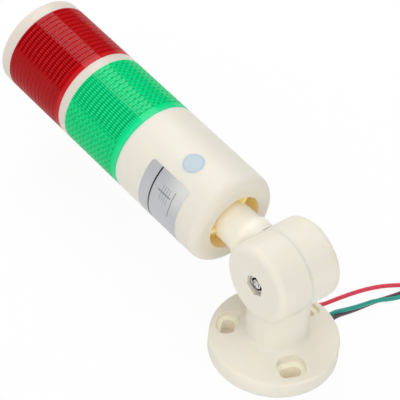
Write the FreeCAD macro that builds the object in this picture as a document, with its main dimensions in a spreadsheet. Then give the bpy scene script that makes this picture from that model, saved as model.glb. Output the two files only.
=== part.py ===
import FreeCAD, Part
import math
import os

import Sketcher
from FreeCAD import Placement, Rotation, Vector

# Two-layer signal tower light on a folding round base, laid over on its side.
# Millimetres. The origin is the centre of the base's underside, +Z is up, the
# fold axis runs along X and the folded tower lies along +Y.

BASE_SIZES = {
    "base_radius": 32.0,
    "base_rim_height": 8.8,
    "base_top_height": 13.8,
    "base_wall": 2.5,
    "base_plate": 2.8,
    "base_edge_round": 1.6,
    "base_rib_width": 1.8,
    "base_rib_rise": 4.2,
    "pedestal_radius": 15.25,
    "pedestal_wall": 2.75,
    "pedestal_round": 3.0,
    "pedestal_roof": 3.4,
    "pivot_height": 55.6,
    "slot_ring_radius": 23.1,
    "slot_width": 6.4,
    "slot_length": 10.6,
    "slot_boss_wall": 1.8,
    "recess_width": 11.4,
    "recess_length": 15.0,
    "recess_floor": 7.2,
    "recess_wall": 1.6,
    "outlet_height": 3.4,
    "outlet_width": 4.4,
    "outlet_offset": 12.6,
    "outlet_depth": 7.1,
    "outlet_pair_width": 8.8,
    "outlet_pair_offset": 4.9,
    "outlet_pair_depth": 3.9,
}

JOINT_SIZES = {
    "drum_radius": 20.7,
    "drum_width": 36.8,
    "drum_wall": 2.8,
    "drum_face": 3.0,
    "drum_edge_round": 3.6,
    "drum_gap": 0.16,
    "saddle_gap": 0.22,
    "boss_radius": 8.8,
    "cable_hole_radius": 4.0,
    "cable_hole_offset": 8.2,
    "arm_hole_radius": 2.6,
    "arm_hole_offset": 3.9,
    "bolt_radius": 3.0,
    "bolt_clearance": 0.08,
    "bolt_length": 31.2,
    "bolt_head_flats": 10.0,
    "bolt_head_height": 4.0,
    "bolt_head_inset": 0.3,
    "bolt_head_recess_radius": 7.0,
    "nut_height": 5.0,
    "nut_inset": 1.6,
    "nut_pocket_clearance": 0.1,
    "washer_radius": 6.0,
    "washer_thickness": 1.6,
    "spring_washer_radius": 5.6,
    "spring_washer_thickness": 1.6,
    "spring_washer_cut": 0.8,
    "friction_washer_radius": 8.4,
    "friction_washer_thickness": 1.0,
    "collar_radius": 11.6,
    "collar_end": 26.0,
    "neck_radius": 10.4,
    "neck_bore_radius": 6.6,
    "neck_bore_floor": 24.0,
    "neck_spigot_radius": 8.7,
    "neck_spigot_length": 8.8,
    "neck_clearance": 0.15,
}

TOWER_SIZES = {
    "tower_radius": 25.0,
    "tower_wall": 2.2,
    "housing_start": 36.9,
    "housing_length": 60.9,
    "housing_edge_round": 5.5,
    "housing_opening_radius": 15.1,
    "housing_skirt_wall": 2.2,
    "housing_recess_depth": 9.1,
    "housing_web": 2.5,
    "recess_rib_width": 1.6,
    "recess_rib_inset": 1.2,
    "gasket_thickness": 1.0,
    "neck_nut_flats": 22.5,
    "neck_nut_height": 5.0,
    "board_post_radius": 2.5,
    "board_post_inset": 2.9,
    "board_station": 62.0,
    "board_edge_clearance": 2.0,
    "board_thickness": 1.6,
    "board_centre_hole": 5.0,
    "screw_radius": 1.2,
    "screw_head_radius": 2.3,
    "screw_head_height": 1.8,
    "screw_length": 8.0,
    "spigot_length": 2.4,
    "spigot_clearance": 0.2,
    "spigot_wall": 1.8,
    "ledge_width": 1.6,
    "ledge_height": 1.6,
    "seal_width": 1.1,
    "seal_height": 1.0,
    "seal_clearance": 0.05,
    "lens_length": 41.5,
    "lens_band": 5.0,
    "lens_groove_count": 12,
    "lens_groove_width": 0.9,
    "lens_groove_depth": 0.5,
    "ring_length": 5.3,
    "cap_length": 7.2,
    "cap_edge_round": 1.2,
    "cap_roof": 2.4,
}

LIGHT_SIZES = {
    "led_base_clearance": 0.1,
    "led_base_thickness": 1.6,
    "column_width": 11.0,
    "column_wall": 1.5,
    "column_length": 34.0,
    "strip_width": 10.0,
    "strip_thickness": 1.2,
    "strip_length": 32.0,
    "led_size": 5.0,
    "led_height": 1.6,
    "led_pitch": 8.0,
    "led_rows": 4,
    "terminal_width": 16.0,
    "terminal_depth": 8.0,
    "terminal_height": 10.0,
    "terminal_hole_radius": 1.3,
    "terminal_pitch": 5.0,
    "terminal_offset": 12.0,
    "capacitor_radius": 4.0,
    "capacitor_height": 12.0,
    "capacitor_offset": 11.0,
    "capacitor_spread": 7.0,
}

WIRE_SIZES = {
    "wire_radius": 1.1,
    "wire_layer_step": 2.3,
    "coil_outer_turn": 14.6,
    "coil_turns": 2.8,
}

SLOT_TURN = 9.6
SLOT_COUNT = 3
RIB_TURNS = (45.0, 75.0)
RECESS_RIB_TURN = -30.0
RECESS_RIB_COUNT = 3

doc = FreeCAD.newDocument("signal_tower")


def make_sheet():
    """Write every driving dimension into one spreadsheet, a name beside each value."""
    sheet = doc.addObject("Spreadsheet::Sheet", "sizes")
    row = 1
    for table in (BASE_SIZES, JOINT_SIZES, TOWER_SIZES, LIGHT_SIZES, WIRE_SIZES):
        for name, value in table.items():
            sheet.set(f"A{row}", name)
            sheet.set(f"B{row}", str(value))
            sheet.setAlias(f"B{row}", name)
            row += 1
    doc.recompute()
    return sheet


sizes = make_sheet()


class Size:
    """A length that carries its value and the sheet formula that it comes from."""

    def __init__(self, value, text):
        self.value = float(value)
        self.text = text

    @staticmethod
    def of(other):
        return other if isinstance(other, Size) else Size(other, str(float(other)))

    def __add__(self, other):
        other = Size.of(other)
        return Size(self.value + other.value, f"({self.text} + {other.text})")

    def __sub__(self, other):
        other = Size.of(other)
        return Size(self.value - other.value, f"({self.text} - {other.text})")

    def __mul__(self, other):
        other = Size.of(other)
        return Size(self.value * other.value, f"({self.text} * {other.text})")

    def __truediv__(self, other):
        other = Size.of(other)
        return Size(self.value / other.value, f"({self.text} / {other.text})")

    def __rsub__(self, other):
        return Size.of(other) - self

    def __neg__(self):
        return self * -1

    __radd__ = __add__
    __rmul__ = __mul__


def size(name):
    """The sheet's value of that name, as a Size."""
    return Size(sizes.get(name), f"sizes.{name}")


def bind(thing, **values):
    """Bind properties of an object to their sheet formulas."""
    for name, value in values.items():
        thing.setExpression(name, Size.of(value).text)


def place(thing, along_x=0, along_y=0, along_z=0, rotation=None):
    """Put an object at a place that follows the sheet, turned as given."""
    thing.Placement = Placement(Vector(), rotation or Rotation())
    thing.setExpression("Placement.Base.x", Size.of(along_x).text)
    thing.setExpression("Placement.Base.y", Size.of(along_y).text)
    thing.setExpression("Placement.Base.z", Size.of(along_z).text)
    return thing


# Sketches and the features made from them


def new_body(label, height=None):
    """A body that is one sub-part, lifted to the pivot's height where it hangs on it."""
    body = doc.addObject("PartDesign::Body", label)
    body.Label = label
    if height is not None:
        place(body, along_z=height)
    return body


def new_sketch(body, role, offset=None, turn=0.0):
    """An empty sketch on one of the body's own planes, moved along its normal."""
    sketch = body.newObject("Sketcher::SketchObject", "outline")
    plane = next(item for item in body.Origin.OriginFeatures if item.Role == role)
    sketch.AttachmentSupport = [(plane, "")]
    sketch.MapMode = "FlatFace"
    sketch.AttachmentOffset = Placement(Vector(), Rotation(Vector(0, 0, 1), turn))
    if offset is not None:
        sketch.setExpression("AttachmentOffset.Base.z", Size.of(offset).text)
    return sketch


def constrain(sketch, kind, *items):
    """Add a constraint; when its last item is a Size, bind it to the sheet."""
    if not isinstance(items[-1], Size):
        sketch.addConstraint(Sketcher.Constraint(kind, *items))
        return
    index = sketch.addConstraint(Sketcher.Constraint(kind, *items[:-1], items[-1].value))
    sketch.setExpression(f"Constraints[{index}]", items[-1].text)


def fix_point(sketch, item, end, across, up):
    """Hold one end of a line, or an arc's centre, at two sheet distances."""
    for kind, axis, value in (("DistanceX", -2, across), ("DistanceY", -1, up)):
        value = Size.of(value)
        if value.value == 0.0 and value.text == "0.0":
            constrain(sketch, "PointOnObject", item, end, axis)
        else:
            constrain(sketch, kind, -1, 1, item, end, value)


def draw_outline(sketch, corners):
    """Draw a closed outline of straight sides through corners given as pairs of sizes."""
    points = [Vector(Size.of(x).value, Size.of(y).value, 0) for x, y in corners]
    count = len(points)
    for index in range(count):
        sketch.addGeometry(Part.LineSegment(points[index], points[(index + 1) % count]), False)
    for index in range(count):
        constrain(sketch, "Coincident", index, 2, (index + 1) % count, 1)
    for index, (across, up) in enumerate(corners):
        fix_point(sketch, index, 1, across, up)


def draw_circle(sketch, radius, across=0, up=0):
    """Draw a circle whose radius and centre follow the sheet."""
    centre = Vector(Size.of(across).value, Size.of(up).value, 0)
    index = sketch.addGeometry(Part.Circle(centre, Vector(0, 0, 1), Size.of(radius).value), False)
    constrain(sketch, "Radius", index, Size.of(radius))
    if Size.of(across).text == "0.0" and Size.of(up).text == "0.0":
        constrain(sketch, "Coincident", index, 3, -1, 1)
    else:
        fix_point(sketch, index, 3, across, up)


def draw_slot(sketch, width, length, across):
    """Draw a round-ended slot that is long in the sketch's second direction."""
    radius = width / 2
    reach = (length - width) / 2
    centre = across.value
    top = Part.Circle(Vector(centre, reach.value, 0), Vector(0, 0, 1), radius.value)
    low = Part.Circle(Vector(centre, -reach.value, 0), Vector(0, 0, 1), radius.value)
    sketch.addGeometry(Part.ArcOfCircle(top, 0, math.pi), False)
    sketch.addGeometry(Part.ArcOfCircle(low, math.pi, 2 * math.pi), False)
    for side in (-1, 1):
        edge = centre + side * radius.value
        start = Vector(edge, -reach.value, 0)
        sketch.addGeometry(Part.LineSegment(start, Vector(edge, reach.value, 0)), False)
    constrain(sketch, "Tangent", 0, 2, 2, 2)
    constrain(sketch, "Tangent", 1, 1, 2, 1)
    constrain(sketch, "Tangent", 1, 2, 3, 1)
    constrain(sketch, "Tangent", 0, 1, 3, 2)
    constrain(sketch, "Equal", 0, 1)
    constrain(sketch, "Radius", 0, radius)
    fix_point(sketch, 0, 3, across, reach)
    fix_point(sketch, 1, 3, across, -reach)


def draw_hexagon(sketch, flats):
    """Draw a regular hexagon about the sketch's origin, flats to left and right."""
    half = flats / 2
    side = flats / math.sqrt(3)
    corners = [(half, side / 2), (0, side), (-half, side / 2)]
    corners += [(-half, -side / 2), (0, -side), (half, -side / 2)]
    draw_outline(sketch, corners)


def solid_volume(body):
    """The volume of a body as it stands."""
    return body.Shape.Volume if body.Tip is not None and not body.Shape.isNull() else 0.0


def add_feature(body, kind, adds, **values):
    """Add a feature to a body and make sure that it adds or cuts."""
    before = solid_volume(body)
    feature = body.newObject(kind, kind.split("::")[1].lower())
    for name, value in values.items():
        if isinstance(value, Size):
            bind(feature, **{name: value})
        else:
            setattr(feature, name, value)
    body.Tip = feature
    doc.recompute()
    change = solid_volume(body) - before
    if change == 0.0 or (change > 0.0) != adds:
        raise RuntimeError(f"{body.Label}: {feature.Name} changed the volume by {change:.3f}")
    return feature


def revolve(body, sketch):
    """Turn an outline about the sketch's upright axis into a solid."""
    return add_feature(body, "PartDesign::Revolution", True, Profile=sketch,
                       ReferenceAxis=(sketch, ["V_Axis"]), Angle=360.0)


def revolve_cut(body, sketch):
    """Cut what an outline sweeps as it turns about the sketch's upright axis."""
    return add_feature(body, "PartDesign::Groove", False, Profile=sketch,
                       ReferenceAxis=(sketch, ["V_Axis"]), Angle=360.0)


def pad(body, sketch, length, reverse=False):
    """Raise a sketch along its normal, or against it."""
    return add_feature(body, "PartDesign::Pad", True, Profile=sketch, Length=length, Reversed=reverse)


def pocket(body, sketch, length=None, reverse=False):
    """Cut a sketch against its normal, or along it; without a length, right through."""
    if length is None:
        return add_feature(body, "PartDesign::Pocket", False, Profile=sketch, Type="ThroughAll", Reversed=reverse)
    return add_feature(body, "PartDesign::Pocket", False, Profile=sketch, Length=length, Reversed=reverse)


def repeat_round(body, features, axis_sketch, count):
    """Repeat features evenly round the normal of a sketch."""
    before = solid_volume(body)
    pattern = body.newObject("PartDesign::PolarPattern", "round_pattern")
    pattern.Originals = features
    pattern.Axis = (axis_sketch, ["N_Axis"])
    pattern.Angle = 360.0
    pattern.Occurrences = count
    body.Tip = pattern
    doc.recompute()
    if abs(solid_volume(body) - before) < 1e-6:
        raise RuntimeError(f"{body.Label}: the pattern changed nothing")
    return pattern


def round_circle(body, radius, amount, height, axis):
    """Round the circular edges of one radius that lie at one height on an axis."""
    target = radius.value
    level = Size.of(height).value
    names = []
    for index, edge in enumerate(body.Shape.Edges):
        curve = edge.Curve
        if not isinstance(curve, Part.Circle) or abs(curve.Radius - target) > 1e-4:
            continue
        centre = body.Placement.inverse().multVec(curve.Center)
        if abs(centre.dot(axis) - level) < 1e-4:
            names.append(f"Edge{index + 1}")
    if not names:
        raise RuntimeError(f"{body.Label}: no edge of radius {target} at {level}")
    base = body.Tip
    feature = body.newObject("PartDesign::Fillet", "round")
    feature.Base = (base, names)
    bind(feature, Radius=amount)
    body.Tip = feature
    doc.recompute()
    return feature


UP = Vector(0, 0, 1)
ALONG = Vector(0, 1, 0)
ACROSS = Vector(1, 0, 0)
PIVOT = size("pivot_height")


# The folding base


def make_base_bracket():
    """Round foot with slots, hollow pedestal and the rear half of the joint drum."""
    body = new_body("base_bracket")
    rim = size("base_radius")
    rim_height = size("base_rim_height")
    top = size("base_top_height")
    pedestal = size("pedestal_radius")
    outer_drum = size("drum_radius")
    half_gap = size("drum_gap") / 2
    half_width = size("drum_width") / 2
    saddle = outer_drum + size("saddle_gap")
    pedestal_end = PIVOT - size("boss_radius")

    foot = new_sketch(body, "XZ_Plane")
    draw_outline(foot, [(0, 0), (rim, 0), (rim, rim_height), (pedestal, top),
                        (pedestal, pedestal_end), (0, pedestal_end)])
    revolve(body, foot)
    round_circle(body, rim, size("base_edge_round"), rim_height, UP)
    round_circle(body, pedestal, size("pedestal_round"), top, UP)

    drum = new_sketch(body, "YZ_Plane", half_gap)
    draw_circle(drum, outer_drum, 0, PIVOT)
    pad(body, drum, half_width - half_gap)
    round_drum_edge(body, outer_drum, half_width)

    bed = new_sketch(body, "YZ_Plane", half_gap)
    draw_circle(bed, saddle, 0, PIVOT)
    pocket(body, bed)

    cut_cable_chamber(body, half_gap, PIVOT, forward=True)

    hollow = new_sketch(body, "XZ_Plane")
    inner = rim - size("base_wall")
    bore = pedestal - size("pedestal_wall")
    plate = size("base_plate")
    bore_top = PIVOT - saddle - size("pedestal_roof")
    draw_outline(hollow, [(0, 0), (inner, 0), (inner, rim_height - plate), (bore, rim_height - plate / 2),
                          (bore, bore_top), (0, bore_top)])
    revolve_cut(body, hollow)

    cable_hole = new_sketch(body, "XY_Plane")
    draw_circle(cable_hole, size("cable_hole_radius"), size("cable_hole_offset"), 0)
    pocket(body, cable_hole, PIVOT - size("boss_radius") - size("drum_wall"), reverse=True)

    add_foot_ribs(body)
    add_screw_slots(body)
    cut_outlets(body)
    return body


def round_drum_edge(body, radius, station):
    """Round the outer edge of a half-drum."""
    return round_circle(body, radius, size("drum_edge_round"), station, ACROSS)


def cut_cable_chamber(body, half_gap, height, forward):
    """Cut the ring-shaped cable chamber, the washer seat and the bolt's way into a half-drum."""
    side = 1 if forward else -1
    half_width = size("drum_width") / 2
    seat = size("friction_washer_thickness") / 2 - half_gap

    chamber = new_sketch(body, "YZ_Plane", half_gap * side)
    draw_circle(chamber, size("drum_radius") - size("drum_wall"), 0, height)
    draw_circle(chamber, size("boss_radius"), 0, height)
    pocket(body, chamber, half_width - half_gap - size("drum_face"), reverse=forward)

    washer_seat = new_sketch(body, "YZ_Plane", half_gap * side)
    draw_circle(washer_seat, size("boss_radius"), 0, height)
    pocket(body, washer_seat, seat, reverse=forward)

    bolt_way = new_sketch(body, "YZ_Plane", half_gap * side)
    draw_circle(bolt_way, size("bolt_radius") + size("bolt_clearance"), 0, height)
    pocket(body, bolt_way, reverse=forward)

    if forward:
        head_recess = new_sketch(body, "YZ_Plane", half_width)
        draw_circle(head_recess, size("bolt_head_recess_radius"), 0, height)
        pocket(body, head_recess, head_recess_depth())


def head_recess_depth():
    """Depth of the round recess that holds the bolt's head and its washers."""
    washers = size("washer_thickness") + size("spring_washer_thickness")
    return size("bolt_head_inset") + size("bolt_head_height") + washers


def add_foot_ribs(body):
    """Stiffen the foot's underside with upright ribs from the pedestal to the rim."""
    start = size("pedestal_radius") - size("pedestal_wall") / 2
    end = size("base_radius") - size("base_wall") / 2
    half = size("base_rib_width") / 2
    rise = size("base_rib_rise")
    length = size("base_rim_height") - size("base_plate") / 2 - rise
    ribs = []
    for turn in RIB_TURNS:
        rib = new_sketch(body, "XY_Plane", rise, SLOT_TURN + turn)
        draw_outline(rib, [(start, -half), (end, -half), (end, half), (start, half)])
        ribs.append(pad(body, rib, length))
    repeat_round(body, ribs, ribs[0].Profile[0], SLOT_COUNT)


def add_screw_slots(body):
    """Give the foot its bossed, recessed slots for the fixing screws."""
    across = size("slot_ring_radius")
    floor = size("recess_floor")
    skin = size("recess_wall")
    width = size("slot_width")
    length = size("slot_length")
    wide = size("recess_width")
    long = size("recess_length")
    boss_wall = size("slot_boss_wall")

    pillar_outline = new_sketch(body, "XY_Plane", None, SLOT_TURN)
    draw_slot(pillar_outline, width + boss_wall * 2, length + boss_wall * 2, across)
    pillar = pad(body, pillar_outline, floor)

    cup_outline = new_sketch(body, "XY_Plane", floor - skin, SLOT_TURN)
    draw_slot(cup_outline, wide + skin * 2, long + skin * 2, across)
    cup = pad(body, cup_outline, size("base_rim_height") - size("base_plate") / 2 - (floor - skin))

    way_outline = new_sketch(body, "XY_Plane", None, SLOT_TURN)
    draw_slot(way_outline, width, length, across)
    way = pocket(body, way_outline, size("base_top_height") + skin, reverse=True)

    recess_outline = new_sketch(body, "XY_Plane", floor, SLOT_TURN)
    draw_slot(recess_outline, wide, long, across)
    recess = pocket(body, recess_outline, size("base_top_height"), reverse=True)

    repeat_round(body, [pillar, cup, way, recess], pillar_outline, SLOT_COUNT)


def cut_outlets(body):
    """Notch the rim on both sides of one screw slot, where the leads leave."""
    rim = size("base_radius")
    end = rim + size("base_wall")
    single = (rim - size("outlet_depth"), size("outlet_offset"), size("outlet_width") / 2)
    pair = (rim - size("outlet_pair_depth"), -size("outlet_pair_offset"), size("outlet_pair_width") / 2)
    for start, middle, half in (single, pair):
        low = middle - half
        high = middle + half
        notch = new_sketch(body, "XY_Plane")
        draw_outline(notch, [(start, low), (end, low), (end, high), (start, high)])
        pocket(body, notch, size("outlet_height"), reverse=True)


# The tilting arm and the pivot's fasteners


def make_tilt_arm():
    """Front half of the joint drum with the collar and the neck, cut clear of the rear half."""
    body = new_body("tilt_arm", PIVOT)
    outer_drum = size("drum_radius")
    half_gap = size("drum_gap") / 2
    half_width = size("drum_width") / 2
    shoulder = neck_shoulder()
    spigot_end = shoulder + size("neck_spigot_length")

    neck = new_sketch(body, "XY_Plane")
    collar = size("collar_radius")
    tube = size("neck_radius")
    spigot = size("neck_spigot_radius")
    start = size("boss_radius")
    draw_outline(neck, [(0, start), (collar, start), (collar, size("collar_end")), (tube, size("collar_end")),
                        (tube, shoulder), (spigot, shoulder), (spigot, spigot_end), (0, spigot_end)])
    revolve(body, neck)

    clear = new_sketch(body, "YZ_Plane", -half_gap)
    draw_circle(clear, outer_drum + size("saddle_gap"))
    pocket(body, clear, reverse=True)

    drum = new_sketch(body, "YZ_Plane", -half_gap)
    draw_circle(drum, outer_drum)
    pad(body, drum, half_width - half_gap, reverse=True)
    round_drum_edge(body, outer_drum, -half_width)

    cut_cable_chamber(body, half_gap, 0, forward=False)

    nut_pocket = new_sketch(body, "YZ_Plane", -half_width)
    draw_hexagon(nut_pocket, size("bolt_head_flats") + size("nut_pocket_clearance") * 2)
    pocket(body, nut_pocket, size("nut_height") + size("nut_inset"), reverse=True)

    bore = new_sketch(body, "XZ_Plane", -spigot_end)
    draw_circle(bore, size("neck_bore_radius"))
    pocket(body, bore, spigot_end - size("neck_bore_floor"), reverse=True)

    hole_start = size("neck_bore_floor") + size("arm_hole_radius")
    cable_hole = new_sketch(body, "XZ_Plane", -hole_start)
    draw_circle(cable_hole, size("arm_hole_radius"), -size("arm_hole_offset"), 0)
    pocket(body, cable_hole, hole_start - size("boss_radius") - size("drum_wall"), reverse=True)
    return body


def neck_shoulder():
    """Station of the neck's shoulder, against the gasket under the housing's web."""
    return size("housing_start") + size("housing_recess_depth") - size("gasket_thickness")


def x_cylinder(name, radius, start, length):
    """A round bar along the pivot's axis."""
    bar = doc.addObject("Part::Cylinder", name)
    bind(bar, Radius=radius, Height=length)
    return place(bar, along_x=start, along_z=PIVOT, rotation=Rotation(Vector(0, 1, 0), 90))


def y_cylinder(name, radius, start, length, across=0, up=0):
    """A round bar along the tower, off its axis by two distances where given."""
    bar = doc.addObject("Part::Cylinder", name)
    bind(bar, Radius=radius, Height=length)
    height = PIVOT + up
    return place(bar, along_x=across, along_y=start, along_z=height, rotation=Rotation(Vector(1, 0, 0), -90))


def hexagon_bar(name, flats, start, length, along):
    """A six-sided bar along the pivot's axis or along the tower."""
    bar = doc.addObject("Part::Prism", name)
    bar.Polygon = 6
    bind(bar, Circumradius=flats / math.sqrt(3), Height=length)
    if along is ACROSS:
        turned = Rotation(Vector(0, 1, 0), 90)
        return place(bar, along_x=start, along_z=PIVOT, rotation=turned)
    return place(bar, along_y=start, along_z=PIVOT, rotation=Rotation(Vector(1, 0, 0), -90))


def cut(label, base, tool):
    """One solid with another taken away."""
    result = doc.addObject("Part::Cut", label)
    result.Base = base
    result.Tool = tool
    result.Label = label
    return result


def fuse(label, shapes):
    """Several solids made one."""
    result = doc.addObject("Part::MultiFuse", label)
    result.Shapes = shapes
    result.Refine = True
    result.Label = label
    return result


def group(label, shapes):
    """Separate solids kept together as one sub-part."""
    result = doc.addObject("Part::Compound", label)
    result.Links = shapes
    result.Label = label
    return result


def make_pivot_parts():
    """The bolt, nut and washers that hold the two half-drums together."""
    half_width = size("drum_width") / 2
    seat = half_width - head_recess_depth()
    washer = size("washer_thickness")
    spring = size("spring_washer_thickness")
    head_seat = seat + washer + spring
    bolt = size("bolt_radius")
    hole = bolt + size("bolt_clearance")

    shank = x_cylinder("bolt_shank", bolt, head_seat - size("bolt_length"), size("bolt_length"))
    head = hexagon_bar("bolt_head", size("bolt_head_flats"), head_seat, size("bolt_head_height"), ACROSS)
    pivot_bolt = fuse("pivot_bolt", [shank, head])

    nut_start = size("nut_inset") - half_width
    nut_bar = hexagon_bar("nut_bar", size("bolt_head_flats"), nut_start, size("nut_height"), ACROSS)
    nut_hole = x_cylinder("nut_hole", hole, nut_start, size("nut_height"))
    pivot_nut = cut("pivot_nut", nut_bar, nut_hole)

    head_washer = ring_washer("head_washer", size("washer_radius"), hole, seat, washer)
    friction = size("friction_washer_thickness")
    friction_washer = ring_washer("friction_washer", size("friction_washer_radius"), hole, -friction / 2, friction)

    closed = ring_washer("closed_spring_washer", size("spring_washer_radius"), hole, seat + washer, spring)
    split = doc.addObject("Part::Box", "spring_washer_split")
    bind(split, Length=spring, Width=size("spring_washer_cut"), Height=size("spring_washer_radius") + spring)
    place(split, along_x=seat + washer, along_y=-size("spring_washer_cut") / 2, along_z=PIVOT)
    spring_washer = cut("spring_washer", closed, split)
    return [pivot_bolt, pivot_nut, head_washer, spring_washer, friction_washer]


def ring_washer(label, outer, inner, start, thickness):
    """A flat washer on the pivot's axis."""
    disc = x_cylinder(label + "_disc", outer, start, thickness)
    hole = x_cylinder(label + "_hole", inner, start, thickness)
    return cut(label, disc, hole)


# The tower's casings, each turned about the tower's axis


def tower_bore():
    """Radius of the bore that the housing, lenses, ring and cap share."""
    return size("tower_radius") - size("tower_wall")


def post_ring():
    """Radius of the ring of posts that carry the driver board."""
    return tower_bore() - size("board_post_inset")


def spigot_outer():
    """Outer radius of the spigot at the foot of a lens, the ring or the cap."""
    return tower_bore() - size("spigot_clearance")


def socket_mouth(end):
    """The corners of a casing's open end, from its outer edge in, with the seal's seat."""
    outer = size("tower_radius")
    seat = tower_bore() + size("seal_width")
    depth = end - size("seal_height")
    return [(outer, end), (seat, end), (seat, depth), (tower_bore(), depth)]


def spigot_foot(start):
    """The corners of a casing's foot, from its inner face out, with the spigot below it."""
    outer = spigot_outer()
    inner = outer - size("spigot_wall")
    low = start - size("spigot_length")
    return [(inner, low), (outer, low), (outer, start), (size("tower_radius"), start)]


def housing_end():
    """Station of the seam between the housing and the green lens."""
    return size("housing_start") + size("housing_length")


def ring_start():
    """Station of the seam between the green lens and the ring."""
    return housing_end() + size("lens_length")


def ring_end():
    """Station of the seam between the ring and the red lens."""
    return ring_start() + size("ring_length")


def cap_start():
    """Station of the seam between the red lens and the cap."""
    return ring_end() + size("lens_length")


def ledge_top(seam):
    """Station of the ledge that carries a layer's round board below a seam."""
    return seam - size("spigot_length") - size("led_base_thickness")


def make_body_housing():
    """Cream lower body: rounded end, open recess round the neck, web, posts and ledge."""
    body = new_body("body_housing", PIVOT)
    start = size("housing_start")
    end = housing_end()
    wall = size("tower_wall")
    outer = size("tower_radius")
    bore = tower_bore()
    opening = size("housing_opening_radius")
    skirt = opening + size("housing_skirt_wall")
    web_low = start + size("housing_recess_depth")
    web_top = web_low + size("housing_web")
    way = size("neck_spigot_radius") + size("neck_clearance")
    inset = size("housing_edge_round") - wall
    ledge = ledge_top(end)
    ledge_in = bore - size("ledge_width")

    shell = new_sketch(body, "XY_Plane")
    draw_outline(shell, [(opening, start), (outer, start)] + socket_mouth(end) + [
        (bore, ledge), (ledge_in, ledge), (ledge_in, ledge - size("ledge_height")),
        (bore, ledge - size("ledge_height") - size("ledge_width")),
        (bore, start + wall + inset), (bore - inset, start + wall), (skirt, start + wall),
        (skirt, web_top), (way, web_top), (way, web_low), (opening, web_low)])
    revolve(body, shell)
    round_circle(body, outer, size("housing_edge_round"), start, ALONG)

    rib = new_sketch(body, "XZ_Plane", -(start + size("recess_rib_inset")), RECESS_RIB_TURN)
    half = size("recess_rib_width") / 2
    rib_in = size("neck_radius") + size("neck_clearance")
    rib_out = opening + size("housing_skirt_wall") / 2
    draw_outline(rib, [(-half, rib_in), (half, rib_in), (half, rib_out), (-half, rib_out)])
    depth = size("housing_recess_depth") + size("housing_web") / 2 - size("recess_rib_inset")
    rib_pad = pad(body, rib, depth, reverse=True)
    repeat_round(body, [rib_pad], rib, RECESS_RIB_COUNT)

    post_start = start + wall / 2
    post = new_sketch(body, "XZ_Plane", -post_start)
    draw_circle(post, size("board_post_radius"), 0, post_ring())
    post_pad = pad(body, post, size("board_station") - post_start, reverse=True)
    pilot = new_sketch(body, "XZ_Plane", -size("board_station"))
    draw_circle(pilot, size("screw_radius"), 0, post_ring())
    pilot_pocket = pocket(body, pilot, size("screw_length"), reverse=True)
    repeat_round(body, [post_pad, pilot_pocket], post, RECESS_RIB_COUNT)
    return body


def make_lens(label, start):
    """Ribbed translucent layer: plain band, then evenly spaced grooves round it."""
    body = new_body(label, PIVOT)
    end = start + size("lens_length")
    outer = size("tower_radius")
    inner = spigot_outer() - size("spigot_wall")
    bore = tower_bore()
    slope = bore - inner

    shell = new_sketch(body, "XY_Plane")
    draw_outline(shell, spigot_foot(start) + socket_mouth(end) + [(bore, start + slope), (inner, start)])
    revolve(body, shell)

    pitch = (size("lens_length") - size("lens_band")) / size("lens_groove_count")
    first = start + size("lens_band")
    half = size("lens_groove_width") / 2
    depth = size("lens_groove_depth")
    groove = new_sketch(body, "XY_Plane")
    draw_outline(groove, [(outer + depth, first - half * 2), (outer + depth, first + half * 2), (outer - depth, first)])
    cut_ring = revolve_cut(body, groove)
    pattern = body.newObject("PartDesign::LinearPattern", "groove_pattern")
    pattern.Originals = [cut_ring]
    pattern.Direction = (groove, ["V_Axis"])
    bind(pattern, Length=pitch * (size("lens_groove_count") - 1), Occurrences=size("lens_groove_count"))
    body.Tip = pattern
    doc.recompute()
    return body


def make_layer_ring():
    """Cream ring between the two layers, with a spigot below and a socket above."""
    body = new_body("layer_ring", PIVOT)
    start = ring_start()
    end = ring_end()
    bore = tower_bore()
    ledge = ledge_top(end)
    inner = spigot_outer() - size("spigot_wall")
    shell = new_sketch(body, "XY_Plane")
    draw_outline(shell, spigot_foot(start) + socket_mouth(end) + [(bore, ledge), (inner, ledge)])
    revolve(body, shell)
    return body


def make_top_cap():
    """Cream cap that closes the tower's end."""
    body = new_body("top_cap", PIVOT)
    start = cap_start()
    end = start + size("cap_length")
    outer = size("tower_radius")
    inner = spigot_outer() - size("spigot_wall")
    roof = end - size("cap_roof")
    shell = new_sketch(body, "XY_Plane")
    draw_outline(shell, spigot_foot(start) + [(outer, end), (0, end), (0, roof), (inner, roof)])
    revolve(body, shell)
    round_circle(body, outer, size("cap_edge_round"), end, ALONG)
    return body


def y_ring(label, outer, inner, start, length):
    """A plain ring about the tower's axis."""
    disc = y_cylinder(label + "_disc", outer, start, length)
    hole = y_cylinder(label + "_hole", inner, start, length)
    return cut(label, disc, hole)


def make_seals():
    """Flat rubber rings in the four seams and the gasket on the neck's shoulder."""
    outer = tower_bore() + size("seal_width") - size("seal_clearance")
    inner = spigot_outer() + size("seal_clearance")
    height = size("seal_height")
    seams = {"body_seal": housing_end(), "ring_lower_seal": ring_start(),
             "ring_upper_seal": ring_end(), "cap_seal": cap_start()}
    seals = [y_ring(label, outer, inner, seam - height, height) for label, seam in seams.items()]
    way = size("neck_spigot_radius") + size("neck_clearance")
    gasket = y_ring("neck_gasket", size("neck_radius"), way, neck_shoulder(), size("gasket_thickness"))
    return seals + [gasket]


def make_neck_nut():
    """Hexagon plastic nut that draws the neck into the housing."""
    start = size("housing_start") + size("housing_recess_depth") + size("housing_web")
    hole = size("neck_spigot_radius") + size("bolt_clearance")
    bar = hexagon_bar("neck_nut_bar", size("neck_nut_flats"), start, size("neck_nut_height"), ALONG)
    return cut("neck_nut", bar, y_cylinder("neck_nut_hole", hole, start, size("neck_nut_height")))


# The electronics


def post_places():
    """The places of the board's screws as sheet distances across and up."""
    places = []
    for index in range(RECESS_RIB_COUNT):
        turn = math.radians(90 + index * 360 / RECESS_RIB_COUNT)
        ring = post_ring()
        places.append((ring * round(math.cos(turn), 9), ring * round(math.sin(turn), 9)))
    return places


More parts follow.
